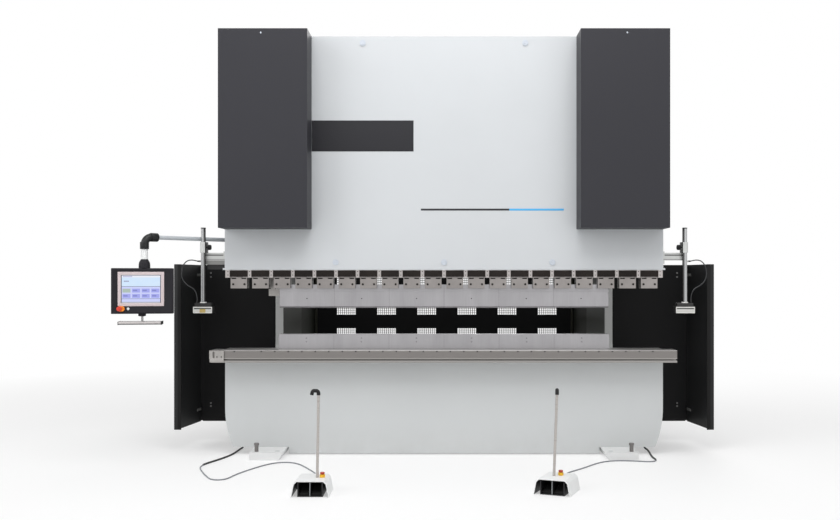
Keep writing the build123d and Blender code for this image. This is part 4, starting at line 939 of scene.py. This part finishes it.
# Foot pedals: stop buttons, dividers, treadle ribs

pedals = {"left": (-1000, -1665, 0, (76, 5)), "right": (863, -1617, -22, (17, 47))}
pedal = {"hoodTop": 120, "collar": (21, 21), "head": (17.5, 13), "divider": (-2.5, 2.5), "dividerZ": (6, 112),
         "ribs": 7, "ribFirst": -95, "ribPitch": 22, "bays": (-46, 46)}
parts = {"stop": [], "collar": [], "divider": [], "ribs": []}
for x, depth, turn, offset in pedals.values():
    place = Matrix.Translation(spot(x, depth, 0)) @ Matrix.Rotation(math.radians(turn), 4, "Z")
    foot = own(*offset, pedal["hoodTop"])
    radius, height = pedal["collar"]
    collar = rounded("pedal_collar", foot + up * height / 2000, radius, height, "Z", 36)
    sink(collar, up, [(3, 2), (3, -2)])
    parts["collar"].append((soften(collar, 1.5, 3), place))
    radius, height = pedal["head"]
    head = rounded("pedal_stop_head", foot + up * 0.032, radius, height, "Z", 36)
    sink(head, down, [(7, 0), (1, 8)])
    sink(head, up, [(4, 1.4), (5, 0.6)])
    parts["stop"].append((soften(head, 3.5, 4), place))
    divider = ownBlock("pedal_divider", pedal["divider"], (-139, -90), pedal["dividerZ"])
    sink(divider, front, [(1, 1.2)])
    parts["divider"].append((soften(divider, 0.8, 2), place))
    for bay in pedal["bays"]:
        for i in range(pedal["ribs"]):
            along = pedal["ribFirst"] + pedal["ribPitch"] * i
            height = 43 + (along + 20) * math.tan(math.radians(12))
            rib = ownBlock("treadle_rib", span(bay, 34), span(along, 3), (height - 2, height + 3))
            sink(rib, up, [(1, 0.8)])
            parts["ribs"].append((rib, place))
for kind, finish, slot, instead in (("collar", yellowPlastic, None, ("pedal_stops",)),
                                    ("stop", darkRed, None, ()), ("divider", machineGrey, "white_paint", ()),
                                    ("ribs", blackRubber, None, ())):
    for piece, place in parts[kind]:
        piece.data.transform(place)
    whole = joined("pedal_" + kind, [piece for piece, place in parts[kind]])
    dress(whole, finish, "frame", slot, instead)
print("feet and pedals dressed")

# Top and rear: tank fittings, valve block, pipes, motor box, cabinet door

top = {"lid": 2912, "middleDepth": 1135, "fillerX": -760, "filterX": -360, "blockX": (-80, 240),
       "blockDepth": (1000, 1240), "blockZ": (2912, 3050), "valveX": (0, 80, 160), "pipeRadius": 15,
       "pipeZ": 3200, "pipeFront": 240, "pipeX": 1385, "motorX": 520, "valveHalf": 28,
       "valveDepth": (1070, 1170), "valveZ": (3047, 3110), "coilDepths": (1035, 1205), "coilZ": 3080,
       "terminalHalf": 62, "terminalDepth": (1258, 1330), "terminalZ": (3290, 3410), "fanZ": 3562,
       "fanRadius": 141}
neck = rounded("tank_filler", spot(top["fillerX"], top["middleDepth"], top["lid"] + 24), 46, 50, "Z", 40)
sink(neck, up, [(-14, 0), (0.5, 26), (6, 4), (20, 0), (0.8, -3)])
dress(soften(neck, 1.5), blackPlastic, "frame")
drum = rounded("tank_filter", spot(top["filterX"], top["middleDepth"], top["lid"] + 48), 78, 98, "Z", 48)
sink(drum, up, [(-12, 0), (0.5, 14), (8, 3), (30, 0), (1, -4)])
studs = [rounded("stud", spot(top["filterX"], top["middleDepth"], top["lid"] + 116) + Vector((
    0.074 * math.cos(turn), 0.074 * math.sin(turn), 0)), 7, 10, "Z", 6) for turn in (0.4, 1.97, 3.54, 5.11)]
studs = [soften(sink(stud, up, [(1.5, 0.8)]), 0.6, 1) for stud in studs]
drum = joined("tank_filter", [soften(drum, 2), *studs])
dress(drum, machineGrey, "frame")
valves = [block("valve_block", top["blockX"], top["blockDepth"], top["blockZ"])]
sink(valves[0], up, [(10, 0), (1, -2)])
soften(valves[0], 3)
for x in top["valveX"]:
    body = block("valve", span(x, top["valveHalf"]), top["valveDepth"], top["valveZ"])
    sink(body, up, [(5, 1.5)])
    valves.append(soften(body, 3))
    for way, depth in zip((front, rear), top["coilDepths"]):
        coil = rounded("coil", spot(x, depth, top["coilZ"]), 24, 72, "Y", 28)
        sink(coil, way, [(4, 0), (1, -3), (6, 5)])
        valves.append(soften(coil, 1.5))
dress(joined("valve_block", valves), machineGrey, "frame")


def pipe(name, corners, radius, bend=70):
    points = [corners[0]]
    for before, corner, after in zip(corners, corners[1:], corners[2:]):
        middle = Vector(corner)
        points += [middle + (Vector(before) - middle).normalized() * bend, middle,
                   middle + (Vector(after) - middle).normalized() * bend]
    return asMesh(smoothLine(name, points + [corners[-1]], radius))


high, ahead, aside = top["pipeZ"], top["pipeFront"], top["pipeX"]
pipes = []
for sign, x in ((-1, -20), (1, 180)):
    pipes.append(pipe("cylinder_pipe", [(x, 1010, 2990), (x, 900, 2990), (x, 900, high), (x, ahead, high),
                                        (sign * aside, ahead, high), (sign * aside, 60, high),
                                        (sign * 1462, 60, high)], top["pipeRadius"]))
    nut = rounded("pipe_nut", spot(sign * 1446, 60, high), 25, 34, "X", 6)
    sink(nut, right * -sign, [(3, 1.5)])
    pipes.append(soften(nut, 1.5))
dress(joined("cylinder_pipes", pipes), rodSteel, "frame")
feed = pipe("pump_pipe", [(395, 1135, 3010), (300, 1135, 3010), (300, 1135, 2975), (236, 1135, 2975)], 17, 16)
dress(feed, rodSteel, "frame")
terminals = block("motor_terminal_box", span(top["motorX"], top["terminalHalf"]), top["terminalDepth"],
                  top["terminalZ"])
sink(terminals, rear, [(4, 0), (1, -3), (6, 3)])
dress(soften(terminals, 4, 3), motorPaint, "frame")
fan = rounded("motor_fan_cap", spot(top["motorX"], top["middleDepth"], top["fanZ"]), top["fanRadius"], 10,
              "Z", 60)
sink(fan, up, [(12, 0), (1, -3), (18, 0), (1, 3), (12, 0), (1, -3), (18, 0), (1, 3), (12, 0), (1, -3)])
dress(soften(fan, 1.5), motorPaint, "frame")

cabinet = {"face": 2212, "handle": ((955, 985), (1010, 1190)), "hinges": (500, 1090, 1680),
           "hingeDepth": 1846, "louvre": ((1230, 1490), 8, 1560, 26), "switch": (1000, 1500)}
(nearDepth, farDepth), (lowZ, highZ) = cabinet["handle"]
grip = block("cabinet_handle", (cabinet["face"] - 2, cabinet["face"] + 8), (nearDepth, farDepth),
             (lowZ, highZ))
sink(grip, right, [(4, 0), (1, 12), (3, 4)])
fittings = [soften(grip, 2.5, 3)]
for z in cabinet["hinges"]:
    hinge = rounded("cabinet_hinge", spot(cabinet["face"] + 2, cabinet["hingeDepth"], z), 11, 84, "Z", 24)
    sink(hinge, up, [(2, 2)])
    sink(hinge, down, [(2, 2)])
    fittings.append(soften(hinge, 1))
dress(joined("cabinet_fittings", fittings), blackPlastic, "frame")
(nearDepth, farDepth), count, firstZ, step = cabinet["louvre"]
fins = []
for i in range(count):
    fin = block("louvre", (cabinet["face"] - 2, cabinet["face"] + 6), (nearDepth, farDepth),
                (firstZ + step * i, firstZ + step * i + 15))
    pick(fin, facing(up))
    bpy.ops.transform.translate(value=(-0.006, 0, 0))
    idle()
    fins.append(soften(fin, 1.2))
dress(joined("cabinet_louvres", fins), cabinetPaint, "frame")
depth, z = cabinet["switch"]
plate = block("main_switch", (cabinet["face"] - 2, cabinet["face"] + 4), span(depth, 45), span(z, 45))
sink(plate, right, [(3, 1.5)])
turner = rounded("turner", spot(cabinet["face"] + 18, depth, z), 30, 28, "X", 32)
sink(turner, right, [(8, 0), (2, 10)])
dress(joined("main_switch", [soften(plate, 1.5), soften(turner, 3, 3)]), blackPlastic, "frame")
print("top and rear dressed")


# Stage: pale floor, soft studio light

studio = {"floorSize": 80, "floorWhite": 0.42, "whiteFrom": 4.5, "whiteOver": 5, "ambient": 0.45,
          "aim": (0, -0.5, 1.8),
          "lamps": {"key": ((-9, -7, 6), 6, 335), "fill": ((6, -9, 5), 6, 80),
                    "top": ((0, -4.5, 8), 6, 380), "back": ((3, 9, 6), 6, 380)}}
idle()
bpy.ops.mesh.primitive_plane_add(size=studio["floorSize"], location=(0, 0, 0))
floor = bpy.context.object
floor.name = "studio_floor"
floorPaint = Finish("floorPaint", (0.93, 0.93, 0.93), 0.7, specular=0.1)
floorPaint.give("Base Color", floorPaint.mix(floorPaint.noise(0.6, 3), (0.92, 0.92, 0.92, 1),
                                             (0.94, 0.94, 0.94, 1)))
away = floorPaint.node("ShaderNodeVectorMath", {"operation": "LENGTH"}, {0: floorPaint.at}, "Value")
plain = ((away - studio["whiteFrom"]) / studio["whiteOver"]).held()    # far floor is plain white


def seenBackdrop(graph):               # 1 for the camera and for mirrors and glass
    rays = graph.tree.nodes.new("ShaderNodeLightPath")
    seen = [Shade(graph, rays.outputs[name]) for name in ("Is Camera Ray", "Is Glossy Ray",
                                                          "Is Transmission Ray")]
    return (seen[0] + seen[1] + seen[2]).held()


shine = floorPaint.node("ShaderNodeEmission", values={"Color": (1, 1, 1, 1), "Strength": 1.0})
output = floorPaint.tree.nodes["Material Output"]
share = plain * (1 - studio["floorWhite"]) + studio["floorWhite"]
blend = floorPaint.node("ShaderNodeMixShader", values={0: seenBackdrop(floorPaint) * share})
floorPaint.tree.links.new(floorPaint.shader.outputs[0], blend.socket.node.inputs[1])
floorPaint.tree.links.new(shine.socket, blend.socket.node.inputs[2])
floorPaint.tree.links.new(blend.socket, output.inputs["Surface"])
floor.data.materials.append(floorPaint.material)
floor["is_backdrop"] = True

world = bpy.data.worlds.new("studioWorld")
world.use_nodes = True
bpy.context.scene.world = world
sky = Graph(world.node_tree)
background = world.node_tree.nodes["Background"]
sky.feed(background.inputs["Color"], (1, 1, 1, 1))
sky.feed(background.inputs["Strength"], seenBackdrop(sky) * (1 - studio["ambient"]) + studio["ambient"])
for name, (place, size, power) in studio["lamps"].items():
    bpy.ops.object.light_add(type="AREA", location=place)
    lampObject = bpy.context.object
    lampObject.name = name + "Lamp"
    lampObject.data.size = size
    lampObject.data.energy = power
    aim = Vector(studio["aim"]) - Vector(place)
    lampObject.rotation_euler = aim.to_track_quat("-Z", "Y").to_euler()
bpy.context.scene.view_settings.view_transform = "Standard"
print("stage lit")

low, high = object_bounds()
